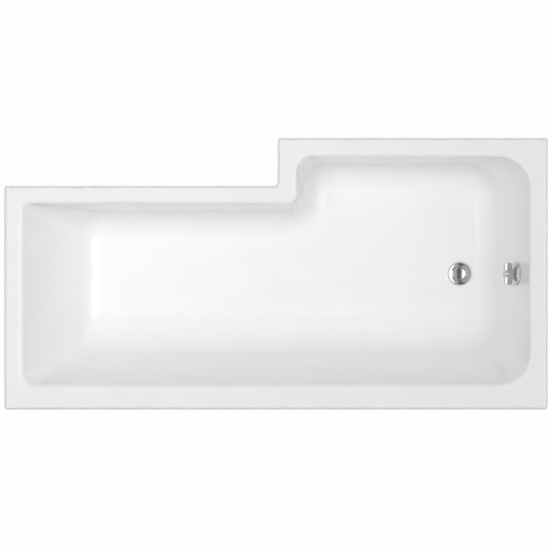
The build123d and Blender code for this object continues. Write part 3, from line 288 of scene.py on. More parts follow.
def galvanised_sheet(finish):
    """Hot-dip zinc on pressed steel: crystals of spangle, each a slightly different grey."""
    material, tree, shader = start_material("galvanised_sheet", Metallic=1.0)
    place = add_node(tree, "ShaderNodeTexCoord").outputs["Object"]
    # Spangle on thin sheet is about 7 mm across
    spangle = add_node(tree, "ShaderNodeTexVoronoi", {"Vector": place}, {"Scale": per_metre(7)})
    shade = add_node(tree, "ShaderNodeRGBToBW", {"Color": spangle.outputs["Color"]})
    tone = add_node(tree, "ShaderNodeValToRGB", {"Fac": shade.outputs["Val"]})
    set_ramp(tone, [(0.2, dimmer(finish.galvanised, 0.78)), (0.8, finish.galvanised)])
    gloss = add_node(tree, "ShaderNodeMapRange", {"Value": shade.outputs["Val"]}, {"To Min": 0.34, "To Max": 0.55})
    grain = add_node(tree, "ShaderNodeTexNoise", {"Vector": place}, {"Scale": per_metre(1.2), "Detail": 3.0})
    bump = add_node(tree, "ShaderNodeBump", {"Height": grain.outputs["Fac"]}, {"Strength": 0.2, "Distance": 0.0001})
    tree.links.new(tone.outputs["Color"], shader.inputs["Base Color"])
    tree.links.new(gloss.outputs["Result"], shader.inputs["Roughness"])
    tree.links.new(bump.outputs["Normal"], shader.inputs["Normal"])
    return material


def plain_metal(name, colour, rough_low, rough_high, mark_mm, depth):
    """A metal whose gloss and tone wander with its handling marks."""
    material, tree, shader = start_material(name, Metallic=1.0)
    place = add_node(tree, "ShaderNodeTexCoord").outputs["Object"]
    mark = add_node(tree, "ShaderNodeTexNoise", {"Vector": place},
                    {"Scale": per_metre(mark_mm), "Detail": 4.0, "Roughness": 0.6})
    tone = add_node(tree, "ShaderNodeValToRGB", {"Fac": mark.outputs["Fac"]})
    set_ramp(tone, [(0.3, dimmer(colour, 0.94)), (0.7, colour)])
    gloss = add_node(tree, "ShaderNodeMapRange", {"Value": mark.outputs["Fac"]},
                     {"From Min": 0.3, "From Max": 0.7, "To Min": rough_low, "To Max": rough_high})
    bump = add_node(tree, "ShaderNodeBump", {"Height": mark.outputs["Fac"]}, {"Strength": 0.3, "Distance": depth})
    tree.links.new(tone.outputs["Color"], shader.inputs["Base Color"])
    tree.links.new(gloss.outputs["Result"], shader.inputs["Roughness"])
    tree.links.new(bump.outputs["Normal"], shader.inputs["Normal"])
    return material


def moulded_plastic(name, colour, rough_low, rough_high, grain_mm, depth, index):
    """A moulding: flow clouding in its tone and the spark-eroded grain of its mould."""
    material, tree, shader = start_material(name, IOR=index)
    place = add_node(tree, "ShaderNodeTexCoord").outputs["Object"]
    flow = add_node(tree, "ShaderNodeTexNoise", {"Vector": place}, {"Scale": per_metre(25), "Detail": 2.0})
    tone = add_node(tree, "ShaderNodeValToRGB", {"Fac": flow.outputs["Fac"]})
    set_ramp(tone, [(0.3, dimmer(colour, 0.93)), (0.7, colour)])
    grain = add_node(tree, "ShaderNodeTexVoronoi", {"Vector": place}, {"Scale": per_metre(grain_mm)})
    gloss = add_node(tree, "ShaderNodeMapRange", {"Value": flow.outputs["Fac"]},
                     {"To Min": rough_low, "To Max": rough_high})
    bump = add_node(tree, "ShaderNodeBump", {"Height": grain.outputs["Distance"]}, {"Strength": 0.35, "Distance": depth})
    tree.links.new(tone.outputs["Color"], shader.inputs["Base Color"])
    tree.links.new(gloss.outputs["Result"], shader.inputs["Roughness"])
    tree.links.new(bump.outputs["Normal"], shader.inputs["Normal"])
    return material


def stranded_wire(finish):
    """Twisted steel strands of the cable's core, 0.5 mm apart, with painted shade in the grooves between them."""
    material, tree, shader = start_material("stranded_steel_wire", Metallic=1.0)
    place = add_node(tree, "ShaderNodeTexCoord").outputs["Object"]
    twist = add_node(tree, "ShaderNodeTexWave", {"Vector": place}, {"Scale": per_metre(0.5) / 6.28, "Distortion": 1.0},
                     bands_direction="DIAGONAL")
    tone = add_node(tree, "ShaderNodeValToRGB", {"Fac": twist.outputs["Fac"]})
    # Painted shade: the grooves between the strands are drawn at half the steel's brightness
    set_ramp(tone, [(0.2, dimmer(finish.steel, 0.5)), (0.6, finish.steel)])
    gloss = add_node(tree, "ShaderNodeMapRange", {"Value": twist.outputs["Fac"]}, {"To Min": 0.3, "To Max": 0.5})
    bump = add_node(tree, "ShaderNodeBump", {"Height": twist.outputs["Fac"]}, {"Strength": 0.5, "Distance": 0.0002})
    tree.links.new(tone.outputs["Color"], shader.inputs["Base Color"])
    tree.links.new(gloss.outputs["Result"], shader.inputs["Roughness"])
    tree.links.new(bump.outputs["Normal"], shader.inputs["Normal"])
    return material


def dress(material, *names):
    """Gives CAD nodes their finish."""
    for name in names:
        mesh = NODES[name].data
        mesh.materials.clear()
        mesh.materials.append(material)


def new_piece(name, verts, faces, material, body, slot, *nodes):
    """A mesh piece that rides on a body and stands for CAD nodes."""
    mesh = bpy.data.meshes.new(name)
    mesh.from_pydata([tuple(v) for v in verts], [], faces)
    mesh.validate()
    mesh.shade_smooth()
    mesh.set_sharp_from_angle(angle=math.radians(34))
    mesh.materials.append(material)
    piece = bpy.data.objects.new(name, mesh)
    bpy.context.scene.collection.objects.link(piece)
    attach(piece, body)
    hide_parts(*nodes)
    return piece


def reshaped_piece(name, node, move, material, body, slot):
    """A piece with a CAD node's faces, whose points a function moves, with its normals drawn afresh."""
    source = NODES[node]
    mesh = source.data
    verts, found, index = [], {}, []
    for vertex in mesh.vertices:
        spot = source.matrix_world @ vertex.co
        key = tuple(round(c, 6) for c in spot)
        if key not in found:
            found[key] = len(verts)
            verts.append(move(spot))
        index.append(found[key])
    faces = []
    for polygon in mesh.polygons:
        corners = list(dict.fromkeys(index[i] for i in polygon.vertices))
        if len(corners) > 2:
            faces.append(tuple(corners))
    return new_piece(name, verts, faces, material, body, slot, node)


# Well of the bath, in metres: rim line of each wall, its draft and its way into the well.
# Order round the L: back, waste, wide, step, narrow, head.
DEPTH = 0.385
RIM_LINES = {"back": -0.350, "waste": 0.795, "wide": 0.365, "step": 0.066, "narrow": 0.218, "head": -0.795}
DRAFTS = {"back": 19.6, "waste": 16.9, "wide": 4.0, "step": 4.0, "narrow": 4.0, "head": 28.3}
INWARD = {"back": 1, "waste": -1, "wide": -1, "step": 1, "narrow": -1, "head": 1}
# Corner after each wall: plan radius at the rim and at the floor, and 1 for a hollow corner or -1 for the nose
CORNERS = {
    "back": (0.095, 0.095, 1),
    "waste": (0.095, 0.095, 1),
    "wide": (0.045, 0.080, 1),
    "step": (0.024, 0.055, -1),
    "narrow": (0.014, 0.080, 1),
    "head": (0.026, 0.080, 1),
}
SIDES = list(RIM_LINES)
# Shares of each wall's length at which its columns stand
COLUMNS = {
    "back": (0.25, 0.5, 0.75),
    "waste": (0.4, 0.6),
    "wide": (0.33, 0.66),
    "step": (0.5,),
    "narrow": (0.33, 0.66),
    "head": (0.5,),
}
# Shares of each wall's straight height at which its rows lie; the overflow hole is between the third and fourth
ROWS = (0.006, 0.2, 0.5, 0.75, 0.994)


def ring_points(lines, extents, levels, steps):
    """Points round the L at one row: wall lines, corner extents along each side, and levels of each wall."""
    points = []
    count = len(SIDES)
    for i, side in enumerate(SIDES):
        before, after = SIDES[i - 1], SIDES[(i + 1) % count]
        along_x = side in ("back", "wide", "narrow")

        def corner_at(a, b):
            return Vector((lines[b], lines[a])) if a in ("back", "wide", "narrow") else Vector((lines[a], lines[b]))

        start, end = corner_at(before, side), corner_at(side, after)
        way = (end - start).normalized()
        first = start + way * extents[before][1]
        last = end - way * extents[side][0]
        for share in COLUMNS[side]:
            spot = first.lerp(last, share)
            points.append((spot.x, spot.y, levels[side]))
        next_start, next_end = corner_at(side, after), corner_at(after, SIDES[(i + 2) % count])
        next_way = (next_end - next_start).normalized()
        reach_in, reach_out = extents[side]
        middle = end - way * reach_in + next_way * reach_out
        for step in range(steps + 1):
            turned = math.radians(90) * step / steps
            spot = middle - next_way * (reach_out * math.cos(turned)) + way * (reach_in * math.sin(turned))
            share = step / steps
            share = share * share * (3 - 2 * share)
            points.append((spot.x, spot.y, levels[side] * (1 - share) + levels[after] * share))
    return points


def soft_floor(value, least):
    """The value, easing to a small positive one instead of crossing zero."""
    return 0.5 * (value + math.sqrt(value * value + 4 * least * least))


def well_row(sizes, kind, share, sheet):
    """One row of the well: on the rim edge, the wall or the foot, at a share of it, moved out by a sheet thickness."""
    edges = {"head": sizes.head_edge, "back": sizes.back_edge}
    feet = {"head": sizes.head_foot, "back": sizes.back_foot, "waste": sizes.waste_foot}
    lines, levels, strays, drops = {}, {}, {}, {}
    for side in SIDES:
        draft = math.radians(DRAFTS[side])
        edge = edges.get(side, sizes.front_edge)
        foot = feet.get(side, sizes.front_foot)
        steepest = math.radians(90) - draft
        edge_middle = Vector((-edge * (1 - math.sin(draft)) / math.cos(draft), edge))
        foot_middle = Vector(((foot + (DEPTH - foot) * math.sin(draft)) / math.cos(draft), DEPTH - foot))

        def on_edge(tilt):
            return edge_middle + Vector((math.sin(tilt), -math.cos(tilt))) * (edge - sheet)

        def on_foot(tilt):
            return foot_middle - Vector((math.sin(tilt), -math.cos(tilt))) * (foot + sheet)

        if kind == "edge":
            spot = on_edge(steepest * share)
        elif kind == "wall":
            spot = on_edge(steepest).lerp(on_foot(steepest), share)
        else:
            spot = on_foot(steepest * (1 - share))
        if kind == "rim":
            spot = on_edge(0) - Vector((share, 0))
        if kind == "floor":
            spot = on_foot(0) + Vector((share, 0))
        lines[side] = RIM_LINES[side] + INWARD[side] * spot.x
        levels[side] = SHELL_HIGH.z - spot.y
        strays[side] = spot.x - spot.y * math.tan(draft)
        drops[side] = min(max(spot.y / DEPTH, 0), 1)
    extents = {}
    for i, side in enumerate(SIDES):
        after = SIDES[(i + 1) % len(SIDES)]
        top, low, hollow = CORNERS[side]
        plan = top + (low - top) * (drops[side] + drops[after]) / 2
        extents[side] = tuple(soft_floor(plan - hollow * strays[wall], sizes.crease) for wall in (after, side))
    return ring_points(lines, extents, levels, sizes.arc_steps)


def rim_row(sizes, inset, level):
    """One row of the outer edge: the L of the bath drawn in by an inset, at a level."""
    outer = {
        "back": SHELL_LOW.y + inset,
        "waste": SHELL_HIGH.x - inset,
        "wide": SHELL_HIGH.y - inset,
        "step": 0.005 + inset,
        "narrow": 0.275 - inset,
        "head": SHELL_LOW.x + inset,
    }
    extents = {}
    for side in SIDES:
        radius = sizes.step_corner + inset if side == "step" else max(sizes.outer_corner - inset, 0.001)
        extents[side] = (radius, radius)
    levels = {side: level for side in SIDES}
    return ring_points(outer, extents, levels, sizes.arc_steps)


class BATH_OT_shell(bpy.types.Operator):
    """Draws the bath shell as one sheet with soft edges, a stepped well, the recess and both holes"""

    bl_idname = "bath.shell"
    bl_label = "Bath shell"

    def execute(self, context):
        sizes = context.scene.bath_shell
        sheet = sizes.thickness
        top = SHELL_HIGH.z
        low = top - sizes.downstand
        edge = sizes.outer_edge
        near = 0.0006
        lean = sizes.lean
        rows = [rim_row(sizes, sheet, low), rim_row(sizes, near, low), rim_row(sizes, 0, low + near)]
        rows.append(rim_row(sizes, lean, top - edge - near))
        for step in range(9):
            turned = math.radians(90) * step / 8
            rows.append(rim_row(sizes, lean + edge * (1 - math.cos(turned)), top - edge * (1 - math.sin(turned))))
        rows.append(rim_row(sizes, lean + edge + 2 * near, top))
        rows.append(well_row(sizes, "rim", 0.0015, 0))
        rows += [well_row(sizes, "edge", step / 9, 0) for step in range(10)]
        hole_row = len(rows) + 1
        rows += [well_row(sizes, "wall", share, 0) for share in ROWS]
        rows += [well_row(sizes, "foot", step / 12, 0) for step in range(13)]
        rows.append(well_row(sizes, "floor", 0.0015, 0))
        floor_row = len(rows) - 1
        rows.append(well_row(sizes, "floor", 0.0015, sheet))
        rows += [well_row(sizes, "foot", 1 - step / 6, sheet) for step in range(7)]
        back_hole_row = len(rows) + 1
        rows += [well_row(sizes, "wall", share, sheet) for share in reversed(ROWS)]
        rows += [well_row(sizes, "edge", 1 - step / 4, sheet) for step in range(5)]
        rows.append(rim_row(sizes, lean + sheet + near, top - sheet))
        rows.append(rim_row(sizes, lean + sheet, top - sheet - near))
        verts = [point for row in rows for point in row]
        count = len(rows[0])
        faces = []
        cut_rows = {hole_row: [], back_hole_row: []}
        # The overflow hole is in the one face of the waste wall between its two columns
        hole_column = len(COLUMNS["back"]) + sizes.arc_steps + 1
        for r in range(len(rows)):
            if r == floor_row:
                continue
            below = (r + 1) % len(rows)
            for c in range(count):
                face = (r * count + c, r * count + (c + 1) % count, below * count + (c + 1) % count, below * count + c)
                if r in cut_rows and c == hole_column:
                    cut_rows[r] = face
                else:
                    faces.append(face)

        def add_ring(points):
            start = len(verts)
            verts.extend(points)
            return list(range(start, len(verts)))

        def join(one, two):
            for i in range(len(one)):
                after = (i + 1) % len(one)
                faces.append((one[i], one[after], two[after], two[i]))

        # Overflow hole, square to the wall
        draft = math.radians(DRAFTS["waste"])
        into = Vector((-math.cos(draft), 0, math.sin(draft)))
        upward = Vector((math.sin(draft), 0, math.cos(draft)))
        centre = Vector((RIM_LINES["waste"] - sizes.overflow_drop * math.tan(draft), 0, top - sizes.overflow_drop))
        radius = sizes.overflow_hole
        rings = []
        for depth in (0, -sheet):
            ring = []
            for step in range(48):
                turned = math.radians(360) * step / 48
                across = Vector((0, 1, 0)) * math.cos(turned) + upward * math.sin(turned)
                ring.append(centre + into * depth + across * radius)
            rings.append(add_ring(ring))
        for face, ring in ((cut_rows[hole_row], rings[0]), (cut_rows[back_hole_row], rings[1])):
            corners = sorted(face, key=lambda i: verts[i][2])
            lower = sorted(corners[:2], key=lambda i: verts[i][1])
            upper = sorted(corners[2:], key=lambda i: verts[i][1])
            high = [upper[0], upper[1]] + ring[:25]
            deep = [lower[1], lower[0]] + ring[24:] + ring[:1]
            sides = [[upper[1], lower[1], ring[0]], [lower[0], upper[0], ring[24]]]
            for part in [high, deep] + sides:
                faces.append(tuple(part[::-1] if ring is rings[1] else part))
        join(rings[1], rings[0])

        # Floor, waste recess and waste hole
        waste = Vector(((FLANGE_LOW.x + FLANGE_HIGH.x) / 2, 0))
        floor_z, drop = top - DEPTH, sizes.recess
        profile = [
            (0.0415, 0), (0.0400, 0.0001), (0.0388, 0.0005), (0.0378, 0.0012), (0.0370, drop - 0.0006),
            (0.0362, drop - 0.0001), (0.0352, drop), (0.0267, drop), (0.0265, drop + 0.0002),
            (0.0265, drop + sheet), (0.0380, drop + sheet), (0.0440, sheet),
        ]
        lathe = []
        for out, down in profile:
            lathe.append(add_ring([
                (waste.x + out * math.cos(math.radians(7.5 * s)), waste.y + out * math.sin(math.radians(7.5 * s)),
                 floor_z - down)
                for s in range(48)
            ]))
        for one, two in zip(lathe, lathe[1:]):
            join(two, one)
        for row, ring, flip in ((floor_row, lathe[0], False), (floor_row + 1, lathe[-1], True)):
            loop = [row * count + c for c in range(count)]
            head = min(range(count), key=lambda c: (round(verts[loop[c]][0], 4), abs(verts[loop[c]][1])))
            tail = max(range(count), key=lambda c: (round(verts[loop[c]][0], 4), -abs(verts[loop[c]][1])))
            back = [loop[c % count] for c in range(head, tail + 1 + (count if tail < head else 0))]
            front = [loop[c % count] for c in range(tail, head + 1 + (count if head < tail else 0))]
            halves = [back + [ring[s % 48] for s in range(48, 23, -1)], front + [ring[s] for s in range(24, -1, -1)]]
            for half in halves:
                faces.append(tuple(half[::-1]) if flip else tuple(half))
        skin = new_piece("bath_shell_skin", verts, faces, vacuum_formed_acrylic(context.scene.bath_finishes),
                         "bath", "white_acrylic", "acrylic_shell")
        if len(skin.data.polygons) < 1000:
            raise RuntimeError("the bath shell has too few faces")
        return {"FINISHED"}


class BATH_OT_backing(bpy.types.Operator):
    """Finishes the glass-fibre backing, the base board and the timber battens"""

    bl_idname = "bath.backing"
    bl_label = "Backing, board and battens"

    def execute(self, context):
        finish = context.scene.bath_finishes
        dress(sprayed_glass_fibre(finish), "fibre_backing")
        dress(pressed_chipboard(finish), "base_board")
        dress(sawn_softwood(finish, "x"), "back_batten", "front_batten", "wide_batten")
        dress(sawn_softwood(finish, "y"), "head_batten", "waste_batten", "step_batten")
        return {"FINISHED"}


class BATH_OT_frame(bpy.types.Operator):
    """Finishes the rails, brackets, socket plate, nuts and screws"""

    bl_idname = "bath.frame"
    bl_label = "Rails, brackets and fixings"

    def execute(self, context):
        finish = context.scene.bath_finishes
        dress(galvanised_sheet(finish), "head_rail", "middle_rail", "waste_rail", "leg_socket",
              "back_bracket_head", "back_bracket_waste", "head_bracket", "waste_bracket")
        zinc = plain_metal("bright_zinc_plate", finish.zinc, 0.22, 0.38, 6, 0.00005)
        dress(zinc, "leg_nuts", "rail_screws", "bracket_screws")
        return {"FINISHED"}


class BATH_OT_feet(bpy.types.Operator):
    """Draws the threaded legs and finishes their pads"""

    bl_idname = "bath.feet"
    bl_label = "Legs and pads"

    def execute(self, context):
        finish = context.scene.bath_finishes
        sizes = context.scene.bath_feet
        zinc = plain_metal("rolled_zinc_thread", finish.zinc, 0.25, 0.42, 3, 0.00003)
        nylon = moulded_plastic("moulded_nylon", finish.nylon, 0.35, 0.55, 0.8, 0.00008, 1.53)
        for number in range(1, 8):
            node = f"leg_stud_{number}"
            low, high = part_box(node)
            middle = (low + high) / 2
            crest = (high.x - low.x) / 2
            root = crest - 0.55 * sizes.pitch
            steps = sizes.turn_steps
            verts, faces = [], []
            lead = 0.0012
            total = int((high.z - low.z - 2 * lead) / sizes.pitch * steps)
            for step in range(total + 1):
                turned = math.radians(360) * step / steps
                way = Vector((math.cos(turned), math.sin(turned), 0))
                z = low.z + lead + sizes.pitch * step / steps
                ease = min(step, total - step, steps) / steps
                peak = root + (crest - root) * ease
                foot = Vector((middle.x, middle.y, 0))
                verts.append(foot + way * peak + Vector((0, 0, z)))
                verts.append(foot + way * root + Vector((0, 0, min(z + sizes.pitch / 2, high.z - lead))))
            for step in range(total):
                a, b = 2 * step, 2 * step + 2
                faces.append((a, b, b + 1, a + 1))
                if step + steps < total:
                    c = a + 2 * steps
                    faces.append((a + 1, b + 1, c + 2, c))
            # Plain core with chamfered ends inside the thread
            rings = [(root - lead, low.z), (root, low.z + lead), (root, high.z - lead), (root - lead, high.z)]
            starts = []
            for out, z in rings:
                starts.append(len(verts))
                for step in range(24):
                    turned = math.radians(15 * step)
                    verts.append(Vector((middle.x + out * math.cos(turned), middle.y + out * math.sin(turned), z)))
            for one, two in zip(starts, starts[1:]):
                for step in range(24):
                    after = (step + 1) % 24
                    faces.append((one + step, one + after, two + after, two + step))
            faces.append(tuple(starts[0] + step for step in reversed(range(24))))
            faces.append(tuple(starts[-1] + step for step in range(24)))
            new_piece(f"leg_thread_{number}", verts, faces, zinc, f"leg_{number}", "zinc_steel", node)
            dress(nylon, f"leg_pad_{number}")
        return {"FINISHED"}


class BATH_OT_waste(bpy.types.Operator):
    """Finishes the waste fitting, its plug and the lift below it"""

    bl_idname = "bath.waste"
    bl_label = "Waste and plug"

    def execute(self, context):
        finish = context.scene.bath_finishes
        chrome = plain_metal("chromed_brass", finish.chrome, 0.05, 0.11, 9, 0.00001)
        sizes = context.scene.bath_waste
        middle = (FLANGE_LOW + FLANGE_HIGH) / 2
        rim = FLANGE_HIGH.x - middle.x
        flat = rim - sizes.lip_slope

        def dished(spot):
            """Draws the flat top out to a lip near the rim and lets it fall towards the plug."""
            out = Vector((spot.x - middle.x, spot.y - middle.y, 0))
            reach = out.length
            if spot.z < FLANGE_HIGH.z - sizes.lip_height or reach > rim - 0.0004:
                return spot
            share = min(max((reach - flat) / sizes.lip_slope, 0), 1)
            wider = reach + (rim - sizes.lip_round - flat) * (1 - share) if reach > flat - 0.0022 else reach
            fall = sizes.dish * min(max((rim - sizes.lip_round - wider) / (rim - flat), 0), 1)
            return Vector((middle.x, middle.y, spot.z - fall)) + out * (wider / reach)

        reshaped_piece("waste_flange_skin", "waste_flange", dished, chrome, "bath", "chrome_plate")

        # Plug: a rolled rim, a fine groove and a domed middle over the skirt that carries the sealing ring
        low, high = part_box("plug")
        ring_low, ring_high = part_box("plug_ring")
        wide = (high.x - low.x) / 2
        skirt, groove = (ring_high.x - ring_low.x) / 2 - 0.0006, (ring_high.x - ring_low.x) / 2 - 0.0028
        under = high.z - sizes.crown
        edge = under + sizes.plug_edge
        inner = wide - sizes.plug_rim
        bore_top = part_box("lift_pin")[1].z + 0.0003
        profile = [
            (0.0004, bore_top), (0.004, bore_top), (0.004, low.z), (skirt, low.z), (skirt, ring_low.z - 0.0001), (groove, ring_low.z - 0.0001),
            (groove, ring_high.z + 0.0001), (skirt, ring_high.z + 0.0001), (skirt, under), (wide - 0.0002, under),
            (wide, under + 0.0002), (wide, edge - 0.0010), (wide - 0.0003, edge - 0.0003), (wide - 0.0010, edge),
            (inner + 0.0010, edge + 0.0002), (inner + 0.0004, edge), (inner + 0.0002, edge - 0.0004),
            (inner, edge - 0.0004), (inner - 0.0002, edge),
        ]
        for step in range(1, 12):
            share = step / 12
            profile.append((inner * (1 - share) - 0.0003, edge + 0.0005 + (high.z - edge - 0.0005) * (2 * share - share ** 2)))
        profile.append((0.0004, high.z))
        verts, faces = [], []
        around = sizes.around
        for out, z in profile:
            for step in range(around):
                turned = math.radians(360) * step / around
                verts.append((middle.x + out * math.cos(turned), middle.y + out * math.sin(turned), z))
        for row in range(len(profile) - 1):
            for step in range(around):
                a, b = row * around + step, row * around + (step + 1) % around
                faces.append((a, b, b + around, a + around))
        faces.append(tuple(reversed(range(around))))
        faces.append(tuple(range(len(verts) - around, len(verts))))
        new_piece("plug_cap", verts, faces, chrome, "plug", "chrome_plate", "plug")
        dress(moulded_plastic("moulded_polypropylene", finish.white_plastic, 0.38, 0.5, 0.9, 0.00006, 1.49), "waste_body")
        dress(moulded_plastic("moulded_rubber", finish.rubber, 0.6, 0.8, 0.7, 0.0001, 1.52),
              "flange_seal", "body_seal", "plug_ring")
        dress(plain_metal("turned_stainless_steel", finish.steel, 0.18, 0.3, 1.5, 0.00003), "flange_screws", "lift_pin")
        dress(plain_metal("turned_brass", finish.brass, 0.2, 0.34, 2, 0.00003), "lift_lever", "lever_crank")
        return {"FINISHED"}


class BATH_OT_overflow(bpy.types.Operator):
    """Finishes the overflow, its rotary handle, the hose and the control cable"""

    bl_idname = "bath.overflow"
    bl_label = "Overflow, hose and cable"

    def execute(self, context):
        finish = context.scene.bath_finishes
        chrome = plain_metal("chromed_plastic", finish.chrome, 0.05, 0.12, 7, 0.00001)
        dress(chrome, "overflow_rosette", "rotary_handle")
        dress(plain_metal("turned_overflow_brass", finish.brass, 0.2, 0.34, 2, 0.00003), "overflow_spindle")
        dress(plain_metal("cut_steel_screw", finish.steel, 0.25, 0.4, 1, 0.00003), "handle_set_screw")
        white = moulded_plastic("moulded_overflow_plastic", finish.white_plastic, 0.38, 0.5, 0.9, 0.00006, 1.49)
        dress(white, "overflow_body", "upper_hose_nut", "lower_hose_nut")
        dress(moulded_plastic("extruded_hose_polyethylene", finish.hose, 0.3, 0.45, 1.4, 0.00008, 1.51), "overflow_hose")
        dress(moulded_plastic("moulded_gasket_rubber", finish.rubber, 0.6, 0.8, 0.7, 0.0001, 1.52), "overflow_gasket")
        dress(moulded_plastic("extruded_cable_sheath", finish.sheath, 0.4, 0.55, 0.6, 0.00005, 1.54), "control_cable")
        dress(stranded_wire(finish), "cable_core")
        return {"FINISHED"}


class BATH_OT_studio(bpy.types.Operator):
    """Sets the pale floor, the soft lights and the camera above the bath"""

    bl_idname = "bath.studio"
    bl_label = "Studio"

    def execute(self, context):
        scene = context.scene
        studio = scene.bath_studio
        material, tree, shader = start_material("painted_studio_floor", Roughness=0.85)
        shader.inputs["Base Color"].default_value = studio.floor
        path = add_node(tree, "ShaderNodeLightPath")
        seen = add_node(tree, "ShaderNodeMath", {0: path.outputs["Is Camera Ray"], 1: path.outputs["Is Glossy Ray"]},
                        operation="MAXIMUM")
        clear = add_node(tree, "ShaderNodeMath",
                         {0: seen.outputs["Value"], 1: path.outputs["Is Transmission Ray"]}, operation="MAXIMUM")
        # Most of what the camera sees of the floor is plain white; the rest keeps the bath's shadow
        share = add_node(tree, "ShaderNodeMath", {0: clear.outputs["Value"]}, {1: 0.985}, operation="MULTIPLY")
        glow = add_node(tree, "ShaderNodeEmission", inputs={"Color": studio.backdrop, "Strength": 1.0})
        both = add_node(tree, "ShaderNodeMixShader",
                        {0: share.outputs["Value"], 1: shader.outputs["BSDF"], 2: glow.outputs["Emission"]})
        tree.links.new(both.outputs["Shader"], tree.nodes["Material Output"].inputs["Surface"])
        reach = 20.0
        mesh = bpy.data.meshes.new("studio_floor")
        mesh.from_pydata([(-reach, -reach, 0), (reach, -reach, 0), (reach, reach, 0), (-reach, reach, 0)], [],
                         [(0, 1, 2, 3)])
        mesh.materials.append(material)
        floor = bpy.data.objects.new("studio_floor", mesh)
        floor.location.z = -0.0005
        scene.collection.objects.link(floor)

        def panel_light(name, place, aim, width, height, level, reflected, spread=180):
            """A soft panel whose level is the share of full light that it gives at its aim."""
            lamp = bpy.data.lights.new(name, "AREA")
            lamp.shape = "RECTANGLE"
            lamp.size, lamp.size_y = width, height
            spot, target = Vector(place), Vector(aim)
            lamp.energy = level * math.pi ** 2 * (spot - target).length_squared
            lamp.spread = math.radians(spread)
            light = bpy.data.objects.new(name, lamp)
            light.location = spot
            light.rotation_mode = "QUATERNION"
            light.rotation_quaternion = (target - spot).to_track_quat("-Z", "Y")
            light.visible_glossy = reflected
            light.visible_camera = False
            scene.collection.objects.link(light)

        panel_light("overhead_panel", (-1.0, 0.5, 6.6), (-0.9, 0.4, 0.0), 2.6, 2.0, studio.key_level, False, 90)
        panel_light("right_panel", (3.0, 0.0, 4.2), (0, 0, 0.4), 1.4, 3.0, studio.side_level, True)
        panel_light("strip_panel", (1.8, 0.0, 6.6), (0.6, 0, 0.2), 2.8, 0.8, studio.strip_level, True)

        world = bpy.data.worlds.new("studio_sky")
        scene.world = world
        world.use_nodes = True
        sky = world.node_tree
        sky.nodes.clear()
        way = add_node(sky, "ShaderNodeTexCoord").outputs["Generated"]
        split = add_node(sky, "ShaderNodeSeparateXYZ", {"Vector": way})
        height = add_node(sky, "ShaderNodeMapRange", {"Value": split.outputs["Z"]},
                          {"From Min": 0.0, "From Max": 0.5, "To Min": 0.45, "To Max": 1.0})
        soft = add_node(sky, "ShaderNodeBackground", {"Color": height.outputs["Result"]},
                        {"Strength": studio.sky_level})
        # White backdrop up to half height, with a pale ceiling and one dark beam above it
        tilt = add_node(sky, "ShaderNodeMath", {0: split.outputs["X"], 1: split.outputs["Z"]}, operation="ARCTAN2")
        across = add_node(sky, "ShaderNodeMapRange", {"Value": tilt.outputs["Value"]},
                          {"From Min": math.radians(-20), "From Max": math.radians(20)})
        beam = add_node(sky, "ShaderNodeValToRGB", {"Fac": across.outputs["Result"]})
        set_ramp(beam, [(0.30, studio.ceiling), (0.37, studio.gantry), (0.56, studio.gantry), (0.63, studio.ceiling)])
        rise = add_node(sky, "ShaderNodeMapRange", {"Value": split.outputs["Z"]}, {"From Min": 0.5, "From Max": 0.85})
        shown = add_node(sky, "ShaderNodeMixRGB", {"Fac": rise.outputs["Result"], "Color2": beam.outputs["Color"]},
                         {"Color1": studio.backdrop})
        white = add_node(sky, "ShaderNodeBackground", {"Color": shown.outputs["Color"]}, {"Strength": 1.0})
        ray = add_node(sky, "ShaderNodeLightPath")
        plain = add_node(sky, "ShaderNodeMath", {0: ray.outputs["Is Camera Ray"], 1: ray.outputs["Is Glossy Ray"]},
                         operation="MAXIMUM")
        pure = add_node(sky, "ShaderNodeMath", {0: plain.outputs["Value"], 1: ray.outputs["Is Transmission Ray"]},
                        operation="MAXIMUM")
        mixed = add_node(sky, "ShaderNodeMixShader", {
            0: pure.outputs["Value"], 1: soft.outputs["Background"], 2: white.outputs["Background"]})
        add_node(sky, "ShaderNodeOutputWorld", {"Surface": mixed.outputs["Shader"]})
        scene.view_settings.view_transform = "Standard"

        lens = bpy.data.cameras.new("camera_above")
        lens.lens = studio.lens
        lens.sensor_width = 36
        distance = studio.view_width * studio.lens / 36
        lens.clip_start, lens.clip_end = 1.0, 400.0
        camera = bpy.data.objects.new("camera_above", lens)
        camera.location = (-0.0031, -0.00375, SHELL_HIGH.z + distance)
        scene.collection.objects.link(camera)
        scene.camera = camera
        return {"FINISHED"}


class BATH_PT_panel(bpy.types.Panel):
    """Buttons and values of the bath"""

    bl_label = "Bath"
    bl_idname = "BATH_PT_panel"
    bl_space_type = "VIEW_3D"
    bl_region_type = "UI"
    bl_category = "Bath"

    def draw(self, context):
        column = self.layout.column()
        for step in STEPS:
            column.operator(step.bl_idname)
        for group in (getattr(context.scene, name) for name in GROUPS):
            for name in group.bl_rna.properties.keys():
                if name not in ("rna_type", "name"):
                    column.prop(group, name)


GROUPS = {"bath_shell": ShellSizes, "bath_feet": FootSizes, "bath_waste": WasteSizes, "bath_finishes": Finishes, "bath_studio": StudioSettings}
STEPS = (BATH_OT_shell, BATH_OT_backing, BATH_OT_frame, BATH_OT_feet, BATH_OT_waste, BATH_OT_overflow, BATH_OT_studio)


def register():
    for name, group in GROUPS.items():
        bpy.utils.register_class(group)
        setattr(bpy.types.Scene, name, PointerProperty(type=group))
    for item in STEPS + (BATH_PT_panel,):
        bpy.utils.register_class(item)


def unregister():
    for item in reversed(STEPS + (BATH_PT_panel,)):
        bpy.utils.unregister_class(item)
    for name, group in reversed(list(GROUPS.items())):
        delattr(bpy.types.Scene, name)
        bpy.utils.unregister_class(group)


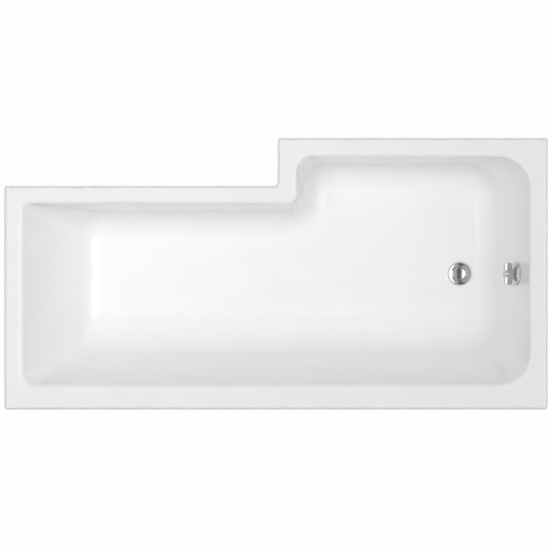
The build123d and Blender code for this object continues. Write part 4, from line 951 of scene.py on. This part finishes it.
def main():
    register()
    bpy.ops.bath.shell()
    bpy.ops.bath.backing()
    bpy.ops.bath.frame()
    bpy.ops.bath.feet()
    bpy.ops.bath.waste()
    bpy.ops.bath.overflow()
    bpy.ops.bath.studio()


if __name__ == "__main__":
    main()
